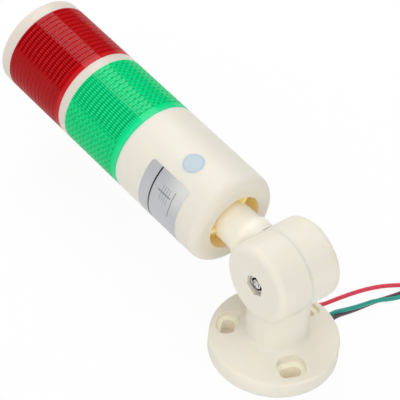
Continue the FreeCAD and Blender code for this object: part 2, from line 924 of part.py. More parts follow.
def make_driver_board():
    """Round circuit board on the housing's posts, with its screws and main components."""
    station = size("board_station")
    thickness = size("board_thickness")
    disc = y_cylinder("driver_disc", tower_bore() - size("board_edge_clearance"), station, thickness)
    holes = [y_cylinder("driver_centre_hole", size("board_centre_hole"), station, thickness)]
    screws = []
    for index, (across, up) in enumerate(post_places()):
        clear = size("screw_radius") + size("bolt_clearance")
        holes.append(y_cylinder(f"driver_hole_{index}", clear, station, thickness, across, up))
        under_head = station + thickness
        shank_start = under_head - size("screw_length")
        shank = y_cylinder(f"screw_shank_{index}", size("screw_radius") - size("bolt_clearance"),
                           shank_start, size("screw_length"), across, up)
        head = y_cylinder(f"screw_head_{index}", size("screw_head_radius"), under_head,
                          size("screw_head_height"), across, up)
        screws.append(fuse(f"board_screw_{index}", [shank, head]))
    board = cut("driver_board", disc, fuse("driver_holes", holes))
    return [board, group("board_screws", screws), make_terminal_block(), make_capacitors()]


def make_terminal_block():
    """Three-way screw terminal on the driver board."""
    start = size("board_station") + size("board_thickness")
    block = doc.addObject("Part::Box", "terminal_body")
    bind(block, Length=size("terminal_width"), Width=size("terminal_height"), Height=size("terminal_depth"))
    low = PIVOT - size("terminal_offset") - size("terminal_depth") / 2
    place(block, along_x=-size("terminal_width") / 2, along_y=start, along_z=low)
    holes = []
    for index in (-1, 0, 1):
        middle = size("terminal_pitch") * index
        hole = y_cylinder(f"terminal_hole_{index + 1}", size("terminal_hole_radius"),
                          start + size("terminal_height") / 2, size("terminal_height") / 2,
                          middle, -size("terminal_offset"))
        holes.append(hole)
    return cut("terminal_block", block, fuse("terminal_holes", holes))


def make_capacitors():
    """Two upright smoothing capacitors on the driver board."""
    start = size("board_station") + size("board_thickness")
    cans = []
    for side in (-1, 1):
        cans.append(y_cylinder(f"capacitor_{side + 1}", size("capacitor_radius"), start,
                               size("capacitor_height"), size("capacitor_spread") * side,
                               size("capacitor_offset")))
    return group("capacitors", cans)


def column_box(name, width, start, length, across=0, up=0, depth=None):
    """An upright box about the tower's axis, off it by two distances where given."""
    depth = depth or width
    box = doc.addObject("Part::Box", name)
    bind(box, Length=width, Width=length, Height=depth)
    return place(box, along_x=across - width / 2, along_y=start, along_z=PIVOT + up - depth / 2)


def make_layer_light(colour, seam):
    """A layer's round board, square column, four strips and their light chips."""
    start = ledge_top(seam)
    thickness = size("led_base_thickness")
    foot = start + thickness
    outer = tower_bore() - size("led_base_clearance")
    base = y_ring(f"{colour}_led_base", outer, size("board_centre_hole"), start, thickness)

    width = size("column_width")
    column = cut(f"{colour}_led_column",
                 column_box(f"{colour}_column_outer", width, foot, size("column_length")),
                 column_box(f"{colour}_column_inner", width - size("column_wall") * 2, foot, size("column_length")))

    strip_middle = width / 2 + size("strip_thickness") / 2
    chip_middle = width / 2 + size("strip_thickness") + size("led_height") / 2
    pitch = size("led_pitch")
    strips = []
    chips = []
    for index, (across, up) in enumerate(((1, 0), (-1, 0), (0, 1), (0, -1))):
        strip_width = size("strip_thickness") if across else size("strip_width")
        strip_depth = size("strip_width") if across else size("strip_thickness")
        strips.append(column_box(f"{colour}_strip_{index}", strip_width, foot, size("strip_length"),
                                 strip_middle * across, strip_middle * up, strip_depth))
        chip_width = size("led_height") if across else size("led_size")
        chip_depth = size("led_size") if across else size("led_height")
        for row in range(int(LIGHT_SIZES["led_rows"])):
            chips.append(column_box(f"{colour}_chip_{index}_{row}", chip_width,
                                    foot + pitch * row + (pitch - size("led_size")) / 2, size("led_size"),
                                    chip_middle * across, chip_middle * up, chip_depth))
    return [base, column, group(f"{colour}_led_strips", strips), group(f"{colour}_leds", chips)]


# The leads


RED_ROUTE = [
    (7.4, 1.8, 39.0), (7.2, 1.9, 28.5), (7.4, 2.0, 18.0), (8.0, 2.6, 9.6), (10.6, 5.6, 3.2),
    (15.6, 10.6, 1.1), (22.0, 14.4, 1.1), (28.6, 12.6, 1.1), (34.2, 8.4, 1.1), (40.6, 5.4, 1.1),
    (49.0, 4.4, 1.1), (59.5, 2.3, 1.1), (69.8, -1.4, 1.1), (78.4, -6.5, 1.1), (86.2, -11.7, 1.1),
    (93.74, -16.62, 1.1)]
GREEN_ROUTE = [
    (9.7, 0.1, 39.0), (9.9, 0.0, 28.5), (9.7, -0.1, 18.0), (10.2, -0.8, 9.6), (12.8, -3.0, 3.2),
    (18.0, -5.8, 1.1), (24.6, -5.6, 1.1), (30.8, -2.4, 1.1), (37.0, -1.3, 1.9), (43.4, -3.9, 3.45),
    (50.8, -6.5, 3.45), (59.2, -8.6, 3.6), (69.5, -13.0, 4.4), (79.5, -13.1, 5.4), (88.54, -14.62, 5.7)]
GREY_ROUTE = [
    (7.4, -1.8, 39.0), (7.2, -1.9, 28.5), (7.4, -2.0, 18.0), (7.9, -3.0, 9.6), (9.8, -6.2, 3.2),
    (15.2, -9.3, 1.1), (23.4, -9.6, 1.1), (30.8, -5.9, 1.1), (37.2, -4.2, 1.1), (47.5, -5.4, 1.1),
    (59.7, -7.3, 1.1), (69.0, -9.2, 1.2), (79.8, -12.9, 3.0), (88.54, -14.62, 3.4)]
COIL_CENTRE = (86.0, -29.0)
COIL_SKIN = 0.1
PATH_REACH = 0.45


def route_path(points):
    """Join straight runs with tangent arcs, each as large as its two runs allow."""
    corners = [Vector(*point) for point in points]
    edges = []
    radii = []
    at = corners[0]
    for before, corner, after in zip(corners, corners[1:], corners[2:]):
        back = (before - corner).normalize()
        ahead = (after - corner).normalize()
        turn = math.pi - back.getAngle(ahead)
        reach = PATH_REACH * min((before - corner).Length, (after - corner).Length)
        radius = reach / math.tan(turn / 2)
        radii.append(radius)
        start = corner + back * reach
        end = corner + ahead * reach
        middle_way = (back + ahead).normalize()
        middle = corner + middle_way * (radius / math.cos(turn / 2) - radius)
        edges.append(Part.LineSegment(at, start).toShape())
        edges.append(Part.Arc(start, middle, end).toShape())
        at = end
    edges.append(Part.LineSegment(at, corners[-1]).toShape())
    return Part.Wire(edges), radii


def make_lead(label, points):
    """One lead from inside the pedestal to its coil, as a tube along its route."""
    path, radii = route_path(points)
    radius = size("wire_radius").value
    first = path.Edges[0]
    circle = Part.Circle(first.valueAt(first.FirstParameter), first.tangentAt(first.FirstParameter), radius)
    tube = path.makePipeShell([Part.Wire([circle.toShape()])], True, False)
    expected = math.pi * radius ** 2 * path.Length
    print(f"{label}: length {path.Length:.1f}, tightest {min(radii):.1f}, "
          f"volume ratio {tube.Volume / expected:.4f}")
    print("   radii", " ".join(f"{value:.1f}" for value in radii))
    lead = doc.addObject("Part::Feature", label)
    lead.Label = label
    lead.Shape = tube
    return lead


def make_lead_coil(label, layer):
    """The outer shape of one lead's coil, which lies in its own layer of the stack."""
    radius = size("wire_radius")
    step = size("wire_layer_step")
    outer = size("coil_outer_turn") + radius + COIL_SKIN
    inner = size("coil_outer_turn") - step * size("coil_turns") - radius
    low = step * layer
    height = radius * 2
    disc = doc.addObject("Part::Cylinder", label + "_disc")
    bind(disc, Radius=outer, Height=height)
    place(disc, along_x=COIL_CENTRE[0], along_y=COIL_CENTRE[1], along_z=low)
    hole = doc.addObject("Part::Cylinder", label + "_hole")
    bind(hole, Radius=inner, Height=height)
    place(hole, along_x=COIL_CENTRE[0], along_y=COIL_CENTRE[1], along_z=low)
    return cut(label, disc, hole)


def build_parts():
    """Make every sub-part and return them in the order of their files."""
    parts = [make_base_bracket(), make_tilt_arm()]
    parts += make_pivot_parts()
    parts += [make_body_housing(), make_lens("green_lens", housing_end()), make_layer_ring(),
              make_lens("red_lens", ring_end()), make_top_cap(), make_neck_nut()]
    parts += make_seals()
    parts += make_driver_board()
    parts += make_layer_light("green", housing_end())
    parts += make_layer_light("red", ring_end())
    parts += [make_lead("red_wire", RED_ROUTE), make_lead("green_wire", GREEN_ROUTE),
              make_lead("grey_wire", GREY_ROUTE)]
    parts += [make_lead_coil("red_wire_coil", 0), make_lead_coil("grey_wire_coil", 1),
              make_lead_coil("green_wire_coil", 2)]
    doc.recompute()
    return parts


def check_and_export(parts):
    """Stop on a failed object or an invalid shape, then write one file per sub-part."""
    failed = [item.Name for item in doc.Objects if {"Invalid", "Error"} & set(item.State)]
    if failed:
        raise RuntimeError(f"failed objects: {failed}")
    for part in parts:
        if part.Shape.isNull() or not part.Shape.isValid() or not part.Shape.Solids:
            raise RuntimeError(f"{part.Label} is not a valid solid")
    os.makedirs("parts", exist_ok=True)
    for part in parts:
        part.Shape.exportStep(f"parts/{part.Label}.step")
        print(f"{part.Label}: {len(part.Shape.Solids)} solid(s), {part.Shape.Volume:.0f} mm3")


check_and_export(build_parts())
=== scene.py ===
import logging
import math
from dataclasses import dataclass
from enum import Enum
from typing import Callable, Optional, Sequence, Union

import bpy
import numpy as np
from mathutils import Matrix, Vector


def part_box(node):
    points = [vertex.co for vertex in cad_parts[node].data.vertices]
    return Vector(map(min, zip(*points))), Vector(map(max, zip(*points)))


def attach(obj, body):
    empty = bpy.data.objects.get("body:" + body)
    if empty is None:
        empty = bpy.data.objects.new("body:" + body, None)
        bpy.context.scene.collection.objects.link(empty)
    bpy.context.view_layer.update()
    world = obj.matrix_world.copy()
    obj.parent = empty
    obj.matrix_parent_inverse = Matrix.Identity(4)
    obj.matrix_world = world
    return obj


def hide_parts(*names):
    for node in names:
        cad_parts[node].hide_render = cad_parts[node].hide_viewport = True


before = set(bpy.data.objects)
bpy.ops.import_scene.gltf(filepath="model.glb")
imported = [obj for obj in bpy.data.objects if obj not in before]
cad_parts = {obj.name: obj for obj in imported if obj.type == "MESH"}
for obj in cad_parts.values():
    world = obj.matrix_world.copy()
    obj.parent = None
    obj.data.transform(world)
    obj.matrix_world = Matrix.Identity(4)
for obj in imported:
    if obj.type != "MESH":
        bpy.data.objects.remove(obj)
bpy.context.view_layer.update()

MM = 0.001
LOG = logging.getLogger("signal_tower")

Colour = tuple[float, float, float, float]
Point = tuple[float, float, float]
Span = tuple[float, float]
Material = bpy.types.Material
Object = bpy.types.Object
Array = np.ndarray


def srgb(*channels: int) -> Colour:
    """A colour given as red, green and blue screen values from 0 to 255, as linear light."""
    red, green, blue = (share / 12.92 if share <= 0.04045 else ((share + 0.055) / 1.055) ** 2.4
                        for share in (channel / 255 for channel in channels))
    return (red, green, blue, 1.0)


WHITE: Colour = (1.0, 1.0, 1.0, 1.0)
BLACK: Colour = (0.0, 0.0, 0.0, 1.0)


# Shader maths


def maths(operation: str, reflected: bool = False) -> Callable[..., "Port"]:
    """Make a method of Port that adds one Math node.

    Args:
        operation: The node's operation.
        reflected: Whether the other value comes before this one.

    Returns:
        The method. It takes the other value, where the operation has one.
    """
    def method(self: "Port", other: "Number" = 0.0) -> "Port":
        """The node's result for both values."""
        pair = (other, self) if reflected else (self, other)
        return self.graph.port("ShaderNodeMath", {"operation": operation}, dict(enumerate(pair)))

    return method


class Port:
    """A node's output socket that takes part in Python arithmetic, one Math node a step."""

    __add__ = __radd__ = maths("ADD")
    __mul__ = __rmul__ = maths("MULTIPLY")
    __sub__, __rsub__ = maths("SUBTRACT"), maths("SUBTRACT", True)
    __truediv__, __rtruediv__ = maths("DIVIDE"), maths("DIVIDE", True)
    __pow__, __rpow__ = maths("POWER"), maths("POWER", True)
    __abs__ = maths("ABSOLUTE")
    fraction = maths("FRACT")
    larger = maths("MAXIMUM")
    smaller = maths("MINIMUM")
    angle_from = maths("ARCTAN2")

    def __init__(self, graph: "Graph", socket: bpy.types.NodeSocket) -> None:
        """Keep the socket and the graph that makes further nodes for it."""
        self.graph = graph
        self.socket = socket

    def __neg__(self) -> "Port":
        """This with its sign turned."""
        return self * -1.0

    def apart(self, other: "Port") -> "Port":
        """The distance that this and the other make at a right angle."""
        return (self * self + other * other) ** 0.5

    def triangle(self) -> "Port":
        """A wave with one period per unit, 1 at whole numbers and 0 half way between."""
        return abs(self.fraction() * 2 - 1)

    def rise(self, low: float, high: float) -> "Port":
        """A smooth step from 0 at one value to 1 at another.

        Args:
            low: The value at which the step starts.
            high: The value at which it ends. It may be the lower of the two.

        Returns:
            The step.
        """
        if high < low:
            return 1 - self.rise(high, low)
        return self.graph.port("ShaderNodeMapRange",
                               {"interpolation_type": "SMOOTHSTEP", "clamp": True},
                               {"Value": self, "From Min": low, "From Max": high})

    def within(self, low: float, high: float, edge: float) -> "Port":
        """A mask that is 1 between two values and fades over a narrow edge outside them."""
        return self.rise(low - edge, low) * self.rise(high + edge, high)


Number = Union[Port, float, int]
Setting = Union[Number, Colour, Point, bpy.types.NodeSocket]


class Graph:
    """The node tree of a material or of the world, built from Python expressions."""

    def __init__(self, owner: Union[Material, bpy.types.World]) -> None:
        """Take over the owner's node tree and empty it."""
        owner.use_nodes = True
        self.owner = owner
        self.tree = owner.node_tree
        self.tree.nodes.clear()

    @classmethod
    def named(cls, name: str) -> "Graph":
        """Start an empty material of that name."""
        return cls(bpy.data.materials.new(name))

    def node(self, kind: str, settings: Optional[dict] = None,
             inputs: Optional[dict] = None) -> bpy.types.Node:
        """Add a node of any type.

        Args:
            kind: The node's type.
            settings: Its own settings, such as an operation, set before its sockets.
            inputs: Values or links of its sockets, by name or index.

        Returns:
            The node.
        """
        made = self.tree.nodes.new(kind)
        for name, value in (settings or {}).items():
            setattr(made, name, value)
        for name, value in (inputs or {}).items():
            if isinstance(value, Port):
                value = value.socket
            if isinstance(value, bpy.types.NodeSocket):
                self.tree.links.new(value, made.inputs[name])
            else:
                made.inputs[name].default_value = value
        return made

    def port(self, kind: str, settings: Optional[dict] = None, inputs: Optional[dict] = None,
             output: Union[int, str] = 0) -> Port:
        """Add a node and return one of its outputs, ready for arithmetic."""
        return Port(self, self.node(kind, settings, inputs).outputs[output])

    def place(self, kind: str = "Object") -> tuple[Port, Port, Port]:
        """The three Object coordinates in metres, or those of another kind."""
        split = self.node("ShaderNodeSeparateXYZ", None, {0: self.spot(kind)})
        across, along, up = (Port(self, output) for output in split.outputs)
        return across, along, up

    def spot(self, kind: str = "Object") -> Port:
        """The Object coordinates as one vector, or those of another kind."""
        return self.port("ShaderNodeTexCoord", None, None, kind)

    def noise(self, size: float, detail: float = 2.0, roughness: float = 0.5) -> Port:
        """Smooth noise from 0 to 1 whose features have about that size in metres."""
        return self.port("ShaderNodeTexNoise", None, {"Vector": self.spot(), "Scale": 1 / size,
                                                      "Detail": detail, "Roughness": roughness})

    def mix(self, factor: Number, first: Union[Colour, Port], second: Union[Colour, Port]) -> Port:
        """Blend two colours: a factor of 0 gives the first and 1 the second."""
        colours = {0: factor, 6: first, 7: second}
        return self.port("ShaderNodeMix", {"data_type": "RGBA"}, colours, 2)

    def bump(self, height: Port, depth: float) -> Port:
        """A normal from a height of 0 to 1 that stands for that depth in metres."""
        return self.port("ShaderNodeBump", None,
                         {"Height": height, "Distance": depth, "Strength": 1.0})

    def principled(self, **sockets: Setting) -> Material:
        """Finish the material with one surface shader. Its sockets are named with underscores."""
        named = {name.replace("_", " "): value for name, value in sockets.items()}
        surface = self.node("ShaderNodeBsdfPrincipled", None, named)
        self.node("ShaderNodeOutputMaterial", None, {"Surface": surface.outputs[0]})
        return self.owner


# The tower's own measures


@dataclass(frozen=True)
class TowerMeasures:
    """Where the tower's axis and its layers are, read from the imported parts.

    A station is the distance along the tower from the fold axis, and a turn is the angle about
    the tower's axis from straight up towards -X.
    """

    pivot_height: float
    radius: float
    pitch: float
    spigot: float = 2.4 * MM
    lens_band: float = 5.0 * MM
    lens_ring_count: int = 12

    @classmethod
    def read(cls) -> "TowerMeasures":
        """Read them from the boxes of the housing and of a lens."""
        low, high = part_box("body_housing")
        lens_low, lens_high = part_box("green_lens")
        plain = lens_high.y - lens_low.y - cls.spigot - cls.lens_band
        return cls((low.z + high.z) / 2, (high.z - low.z) / 2, plain / cls.lens_ring_count)

    def point(self, turn: Array, station: Array, radius: float) -> Array:
        """Points on a round surface about the tower: across is -radius sin(turn), up is
        pivot height plus radius cos(turn), and along is the station."""
        return np.stack([-radius * np.sin(turn), station + 0 * turn,
                         self.pivot_height + radius * np.cos(turn)], axis=-1)


@dataclass(frozen=True)
class TowerPlace:
    """A shader's own view of the same measures."""

    station: Port
    turn: Port
    radius: Port

    @classmethod
    def of(cls, graph: Graph, tower: TowerMeasures) -> "TowerPlace":
        """Work out station, turn in degrees and distance from the tower's axis."""
        across, along, up = graph.place()
        rise = up - tower.pivot_height
        return cls(along, (-across).angle_from(rise) * math.degrees(1.0), across.apart(rise))


# Finishes


@dataclass(frozen=True)
class CreamPlastic:
    """Moulded cream plastic: fine spark-eroded grain and slight cloudiness."""

    name: str
    colour: Colour = srgb(238, 233, 220)
    cloud: Colour = srgb(233, 227, 212)
    translucency: float = 0.45
    light_reach: float = 2.6 * MM
    # Strength of the painted glow that the kinds below put into shaded hollows.
    painted_glow: float = 0.14
    cloud_size: float = 22.0 * MM
    gloss_size: float = 6.0 * MM
    grain_size: float = 0.35 * MM
    grain_depth: float = 0.006 * MM

    def paint(self, graph: Graph, colour: Port) -> tuple[Port, dict]:
        """The painted colour, and the emission sockets of a painted glow in shaded hollows."""
        return colour, {}

    def build(self) -> Material:
        """Make the material."""
        graph = Graph.named(self.name)
        colour = graph.mix(graph.noise(self.cloud_size, 3.0), self.colour, self.cloud)
        colour, glow = self.paint(graph, colour)
        grain = graph.noise(self.grain_size, 3.0, 0.6)
        rough = graph.noise(self.gloss_size, 4.0) * 0.10 + 0.36
        return graph.principled(Base_Color=colour, Roughness=rough, IOR=1.5, Specular_IOR_Level=0.3,
                                Subsurface_Weight=self.translucency,
                                Subsurface_Radius=(1.0, 0.75, 0.40),
                                Subsurface_Scale=self.light_reach,
                                Normal=graph.bump(grain, self.grain_depth), **glow)


@dataclass(frozen=True, kw_only=True)
class HousingPlastic(CreamPlastic):
    """The housing's cream, with painted warm bounce light and a painted glow in the deep recess
    round the neck.
    """

    tower: TowerMeasures
    name: str = "cream_plastic_housing"
    colour: Colour = srgb(234, 229, 217)
    cloud: Colour = srgb(229, 223, 209)
    # Painted warm bounce light of the deep recess.
    recess: Colour = srgb(255, 222, 124)
    recess_radius: Span = (15.3 * MM, 14.9 * MM)
    recess_depth: Span = (35.0 * MM, 40.5 * MM)

    def paint(self, graph: Graph, colour: Port) -> tuple[Port, dict]:
        """Paint warm bounce light and a glow into what lies inside the recess's radius and behind
        its mouth.
        """
        place = TowerPlace.of(graph, self.tower)
        deep = place.radius.rise(*self.recess_radius) * place.station.rise(*self.recess_depth)
        # The recess glows with painted light of its own.
        glow = {"Emission_Color": graph.mix(deep, BLACK, self.recess),
                "Emission_Strength": self.painted_glow}
        return graph.mix(deep, colour, self.recess), glow


@dataclass(frozen=True, kw_only=True)
class ArmPlastic(CreamPlastic):
    """The tilting arm's cream, with painted light that makes the neck paler and painted warm bounce
    light at its root in the recess.
    """

    tower: TowerMeasures
    name: str = "cream_plastic_arm"
    # Painted light: the neck paler than the rest of the arm.
    neck: Colour = srgb(250, 243, 227)
    neck_start: Span = (19.0 * MM, 24.0 * MM)
    # Painted warm bounce light at the root in the recess.
    root: Colour = srgb(255, 222, 124)
    root_start: Span = (37.0 * MM, 43.0 * MM)
    root_share: float = 0.4

    def paint(self, graph: Graph, colour: Port) -> tuple[Port, dict]:
        """Paint light on the neck and warm bounce light at its root, by station."""
        place = TowerPlace.of(graph, self.tower)
        colour = graph.mix(place.station.rise(*self.neck_start), colour, self.neck)
        root = place.station.rise(*self.root_start) * self.root_share
        return graph.mix(root, colour, self.root), {}


@dataclass(frozen=True, kw_only=True)
class FootPlastic(CreamPlastic):
    """The foot's cream, with painted light and glow in the screw recesses and a painted shadow line
    where the drum starts.
    """

    tower: TowerMeasures
    name: str = "cream_plastic_foot"
    screw_ring: Span = (17.5 * MM, 28.8 * MM)
    screw_ring_edge: float = 0.3 * MM
    # Painted light: the screw seats lighter than the rest.
    seat: Colour = srgb(255, 249, 226)
    seat_depth: Span = (8.6 * MM, 6.4 * MM)
    seat_shine: float = 0.35
    # Painted light on the shaded walls of the holes.
    hole: Colour = srgb(247, 239, 221)
    hole_depth: Span = (7.1 * MM, 6.5 * MM)
    hole_shine: float = 0.12
    # Painted shadow line under the front half-drum, where it meets the pedestal.
    drum_shadow_line: Colour = srgb(226, 214, 172)
    shadow_line_span: Span = (0.1 * MM, 0.8 * MM)
    shadow_line_edge: float = 0.3 * MM
    shadow_line_side: Span = (1.0 * MM, -1.0 * MM)
    shadow_line_height: Span = (46.0 * MM, 40.0 * MM)

    def paint(self, graph: Graph, colour: Port) -> tuple[Port, dict]:
        """Paint light and glow into the seats and holes by height and distance from the middle,
        and a painted shadow line just outside the drum's radius."""
        across, along, up = graph.place()
        ring = across.apart(along).within(*self.screw_ring, self.screw_ring_edge)
        seat = up.rise(*self.seat_depth) * ring
        hole = seat * up.rise(*self.hole_depth)
        # Painted glow in the seats and holes.
        painted_shine = graph.mix(hole * self.hole_shine + seat * self.seat_shine, BLACK, self.seat)
        colour = graph.mix(hole, graph.mix(seat, colour, self.seat), self.hole)
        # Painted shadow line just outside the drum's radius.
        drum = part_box("base_bracket")[1].z - self.tower.pivot_height
        low, high = (drum + offset for offset in self.shadow_line_span)
        line = along.apart(up - self.tower.pivot_height).within(low, high, self.shadow_line_edge)
        line *= across.rise(*self.shadow_line_side) * up.rise(*self.shadow_line_height)
        return (graph.mix(line, colour, self.drum_shadow_line),
                {"Emission_Color": painted_shine, "Emission_Strength": self.painted_glow})


@dataclass(frozen=True)
class LensDyesAndLight:
    """A layer's tones: a ring's face in painted shade, the plain body, a groove's painted highlight
    line and the smooth lip. The weave is how strongly the far wall's prisms show."""

    # Painted shade: the dark inside seen through a ring's face.
    deep: Colour
    body: Colour
    # Painted highlight along a groove.
    line: Colour
    lip: Colour
    weave: float


class LensColour(Enum):
    """The two layers' dyes and painted light."""

    RED = LensDyesAndLight(srgb(128, 0, 2), srgb(170, 2, 8), srgb(224, 46, 52), srgb(194, 32, 38), 0.12)
    GREEN = LensDyesAndLight(srgb(0, 156, 84), srgb(2, 218, 132), srgb(52, 242, 172),
                     srgb(50, 214, 144), 0.58)


@dataclass(frozen=True)
class LensPlastic:
    """Dyed clear plastic with turned rings outside and fine upright prisms inside."""

    colour: LensColour
    start: float
    groove_edge: Span = (0.25, 0.8)
    prism_turn: float = 2.9
    prism_edge: Span = (0.3, 0.7)
    prism_depth: float = 0.10 * MM
    weave_turn: float = 8.7
    weave_edge: Span = (0.1, 0.6)
    upper_flank: Span = (-180.0, 12.0)
    upper_flank_edge: float = 14.0
    lower_flank: Span = (62.0, 180.0)
    lower_flank_edge: float = 8.0
    rings_start: Span = (-1.0 * MM, -0.2 * MM)
    lip_end: Span = (2.9 * MM, 2.4 * MM)
    cloud_size: float = 9.0 * MM

    def build(self, tower: TowerMeasures) -> Material:
        """Make the material.

        The grooves get a painted highlight and the faces between them painted shade, for the dark
        inside.
        Upright prisms cut both into dots, and the far wall's prisms show as a weave of two crossing
        waves. Towards both flanks the faces get painted light and the grooves fade. The plain band
        below the rings has a lighter smooth lip.
        """
        dyes_and_light = self.colour.value
        graph = Graph.named(f"{self.colour.name.lower()}_lens_plastic")
        place = TowerPlace.of(graph, tower)
        from_start = place.station - self.start
        from_rings = from_start - tower.lens_band
        groove = (from_rings / tower.pitch).triangle().rise(*self.groove_edge)
        prism = (place.turn / self.prism_turn).triangle()
        dot = prism.rise(*self.prism_edge)
        skew = place.turn / self.weave_turn
        climb = place.station / tower.pitch
        weave = ((skew + climb).triangle() * (skew - climb).triangle()).rise(*self.weave_edge)
        # Painted light: the faces lighter on both flanks.
        upper = place.turn.within(*self.upper_flank, self.upper_flank_edge)
        lower = place.turn.within(*self.lower_flank, self.lower_flank_edge)
        lit_flank = upper + lower
        # Painted shade where the faces look into the dark inside.
        faces = graph.mix(dot * 0.35 + lit_flank * 0.65, dyes_and_light.deep, dyes_and_light.body)
        fade = 1.0 - lower * 0.7 - upper * (dyes_and_light.weave * 0.55)
        # Painted highlight along the grooves.
        rings = graph.mix(groove * (dot * 0.9 + 0.1) * fade, faces, dyes_and_light.line)
        rings = graph.mix(weave * (lit_flank * dyes_and_light.weave + 0.08), rings, dyes_and_light.deep)
        band = graph.mix(from_start.rise(*self.lip_end), dyes_and_light.body, dyes_and_light.lip)
        ringed = from_rings.rise(*self.rings_start)
        colour = graph.mix(ringed, band, rings)
        colour = graph.mix(graph.noise(self.cloud_size) * 0.2, colour, dyes_and_light.body)
        return graph.principled(Base_Color=colour, Roughness=0.14, IOR=1.5, Specular_IOR_Level=0.0,
                                Coat_Weight=0.36, Coat_IOR=1.4, Coat_Roughness=0.035,
                                Normal=graph.bump(prism * ringed, self.prism_depth))


class Metal(Enum):
    """Metals: tone, roughness and how strongly the surface is brushed or plated."""

    ZINC_STEEL = (srgb(226, 225, 220), 0.12, 0.003 * MM)
    TINNED_COPPER = (srgb(205, 198, 186), 0.30, 0.003 * MM)


@dataclass(frozen=True)
class MetalFinish:
    """Plated metal with faint streaks and uneven roughness."""

    metal: Metal
    dulled: Colour = srgb(150, 148, 140)
    streak_size: float = 0.5 * MM
    dull_size: float = 2.5 * MM
    # Tone of the painted shade and dark reflection on threaded pieces.
    painted_dark: Colour = srgb(46, 44, 41)
    patch_size: float = 0.9 * MM
    patch_edge: Span = (0.5, 0.58)
    gap_edge: float = 0.12 * MM

    def build(self, thread: Optional[tuple[float, float, float]] = None) -> Material:
        """Make the material.

        Args:
            thread: The height of the fold axis and the two radii between which a thread's gap is
                darkened with painted shade, or None. A threaded piece has painted dark patches of
                shade and reflection as well.

        Returns:
            The material.
        """
        tone, roughness, depth = self.metal.value
        graph = Graph.named(self.metal.name.lower() + ("_threaded" if thread else ""))
        streak = graph.noise(self.streak_size, 4.0, 0.7)
        dull = graph.noise(self.dull_size, 3.0)
        colour = graph.mix(dull * 0.35, tone, self.dulled)
        if thread:
            axis, low, high = thread
            _, along, up = graph.place()
            gap = along.apart(up - axis).within(low, high, self.gap_edge)
            # Painted shade and dark reflection: random dark patches, and the thread's gap.
            patches = graph.noise(self.patch_size, 1.0).rise(*self.patch_edge)
            colour = graph.mix(patches * 0.75, colour, self.painted_dark)
            colour = graph.mix(gap * 0.9, colour, self.painted_dark)
        return graph.principled(Base_Color=colour, Metallic=1.0, Roughness=dull * 0.16 + roughness,
                                Normal=graph.bump(streak, depth))


@dataclass(frozen=True)
class PlainMoulding:
    """A small moulded or coated piece: two close tones, a grain and a roughness of its own."""

    name: str
    tone: Colour
    second_tone: Colour
    roughness: float = 0.45
    patch_size: float = 3.0 * MM
    grain_size: float = 0.3 * MM
    grain_depth: float = 0.004 * MM
    coat: float = 0.0

    def build(self) -> Material:
        """Make the material."""
        graph = Graph.named(self.name)
        patch = graph.noise(self.patch_size, 3.0)
        colour = graph.mix(patch, self.tone, self.second_tone)
        grain = graph.noise(self.grain_size, 2.0)
        return graph.principled(Base_Color=colour, Roughness=patch * 0.12 + self.roughness, IOR=1.5,
                                Coat_Weight=self.coat, Coat_Roughness=0.08,
                                Normal=graph.bump(grain, self.grain_depth))


SEAL_RUBBER = PlainMoulding("seal_rubber", srgb(34, 34, 36), srgb(46, 46, 47), 0.6)
WHITE_PLASTIC = PlainMoulding("white_plastic", srgb(236, 236, 232), srgb(226, 226, 220), 0.4)
COLUMN_PLASTIC = PlainMoulding("column_plastic", srgb(238, 238, 234), srgb(230, 230, 224), 0.4)
BOARD_LAMINATE = PlainMoulding("board_laminate", srgb(24, 92, 52), srgb(18, 76, 42), 0.32, coat=0.4)
CHIP_RESIN = PlainMoulding("chip_resin", srgb(226, 214, 140), srgb(238, 232, 190), 0.25, 1.2 * MM)
TERMINAL_PLASTIC = PlainMoulding("terminal_plastic", srgb(40, 130, 74), srgb(34, 116, 64), 0.42)
CAPACITOR_CAN = PlainMoulding("capacitor_can", srgb(36, 40, 66), srgb(28, 32, 54), 0.3, coat=0.3)
RED_SHEATH = PlainMoulding("red_sheath", srgb(234, 66, 88), srgb(224, 58, 80), 0.34, coat=0.25)
GREEN_SHEATH = PlainMoulding("green_sheath", srgb(30, 160, 144), srgb(22, 148, 134), 0.34,
                             coat=0.25)
GREY_SHEATH = PlainMoulding("grey_sheath", srgb(104, 80, 86), srgb(94, 72, 80), 0.36, coat=0.25)


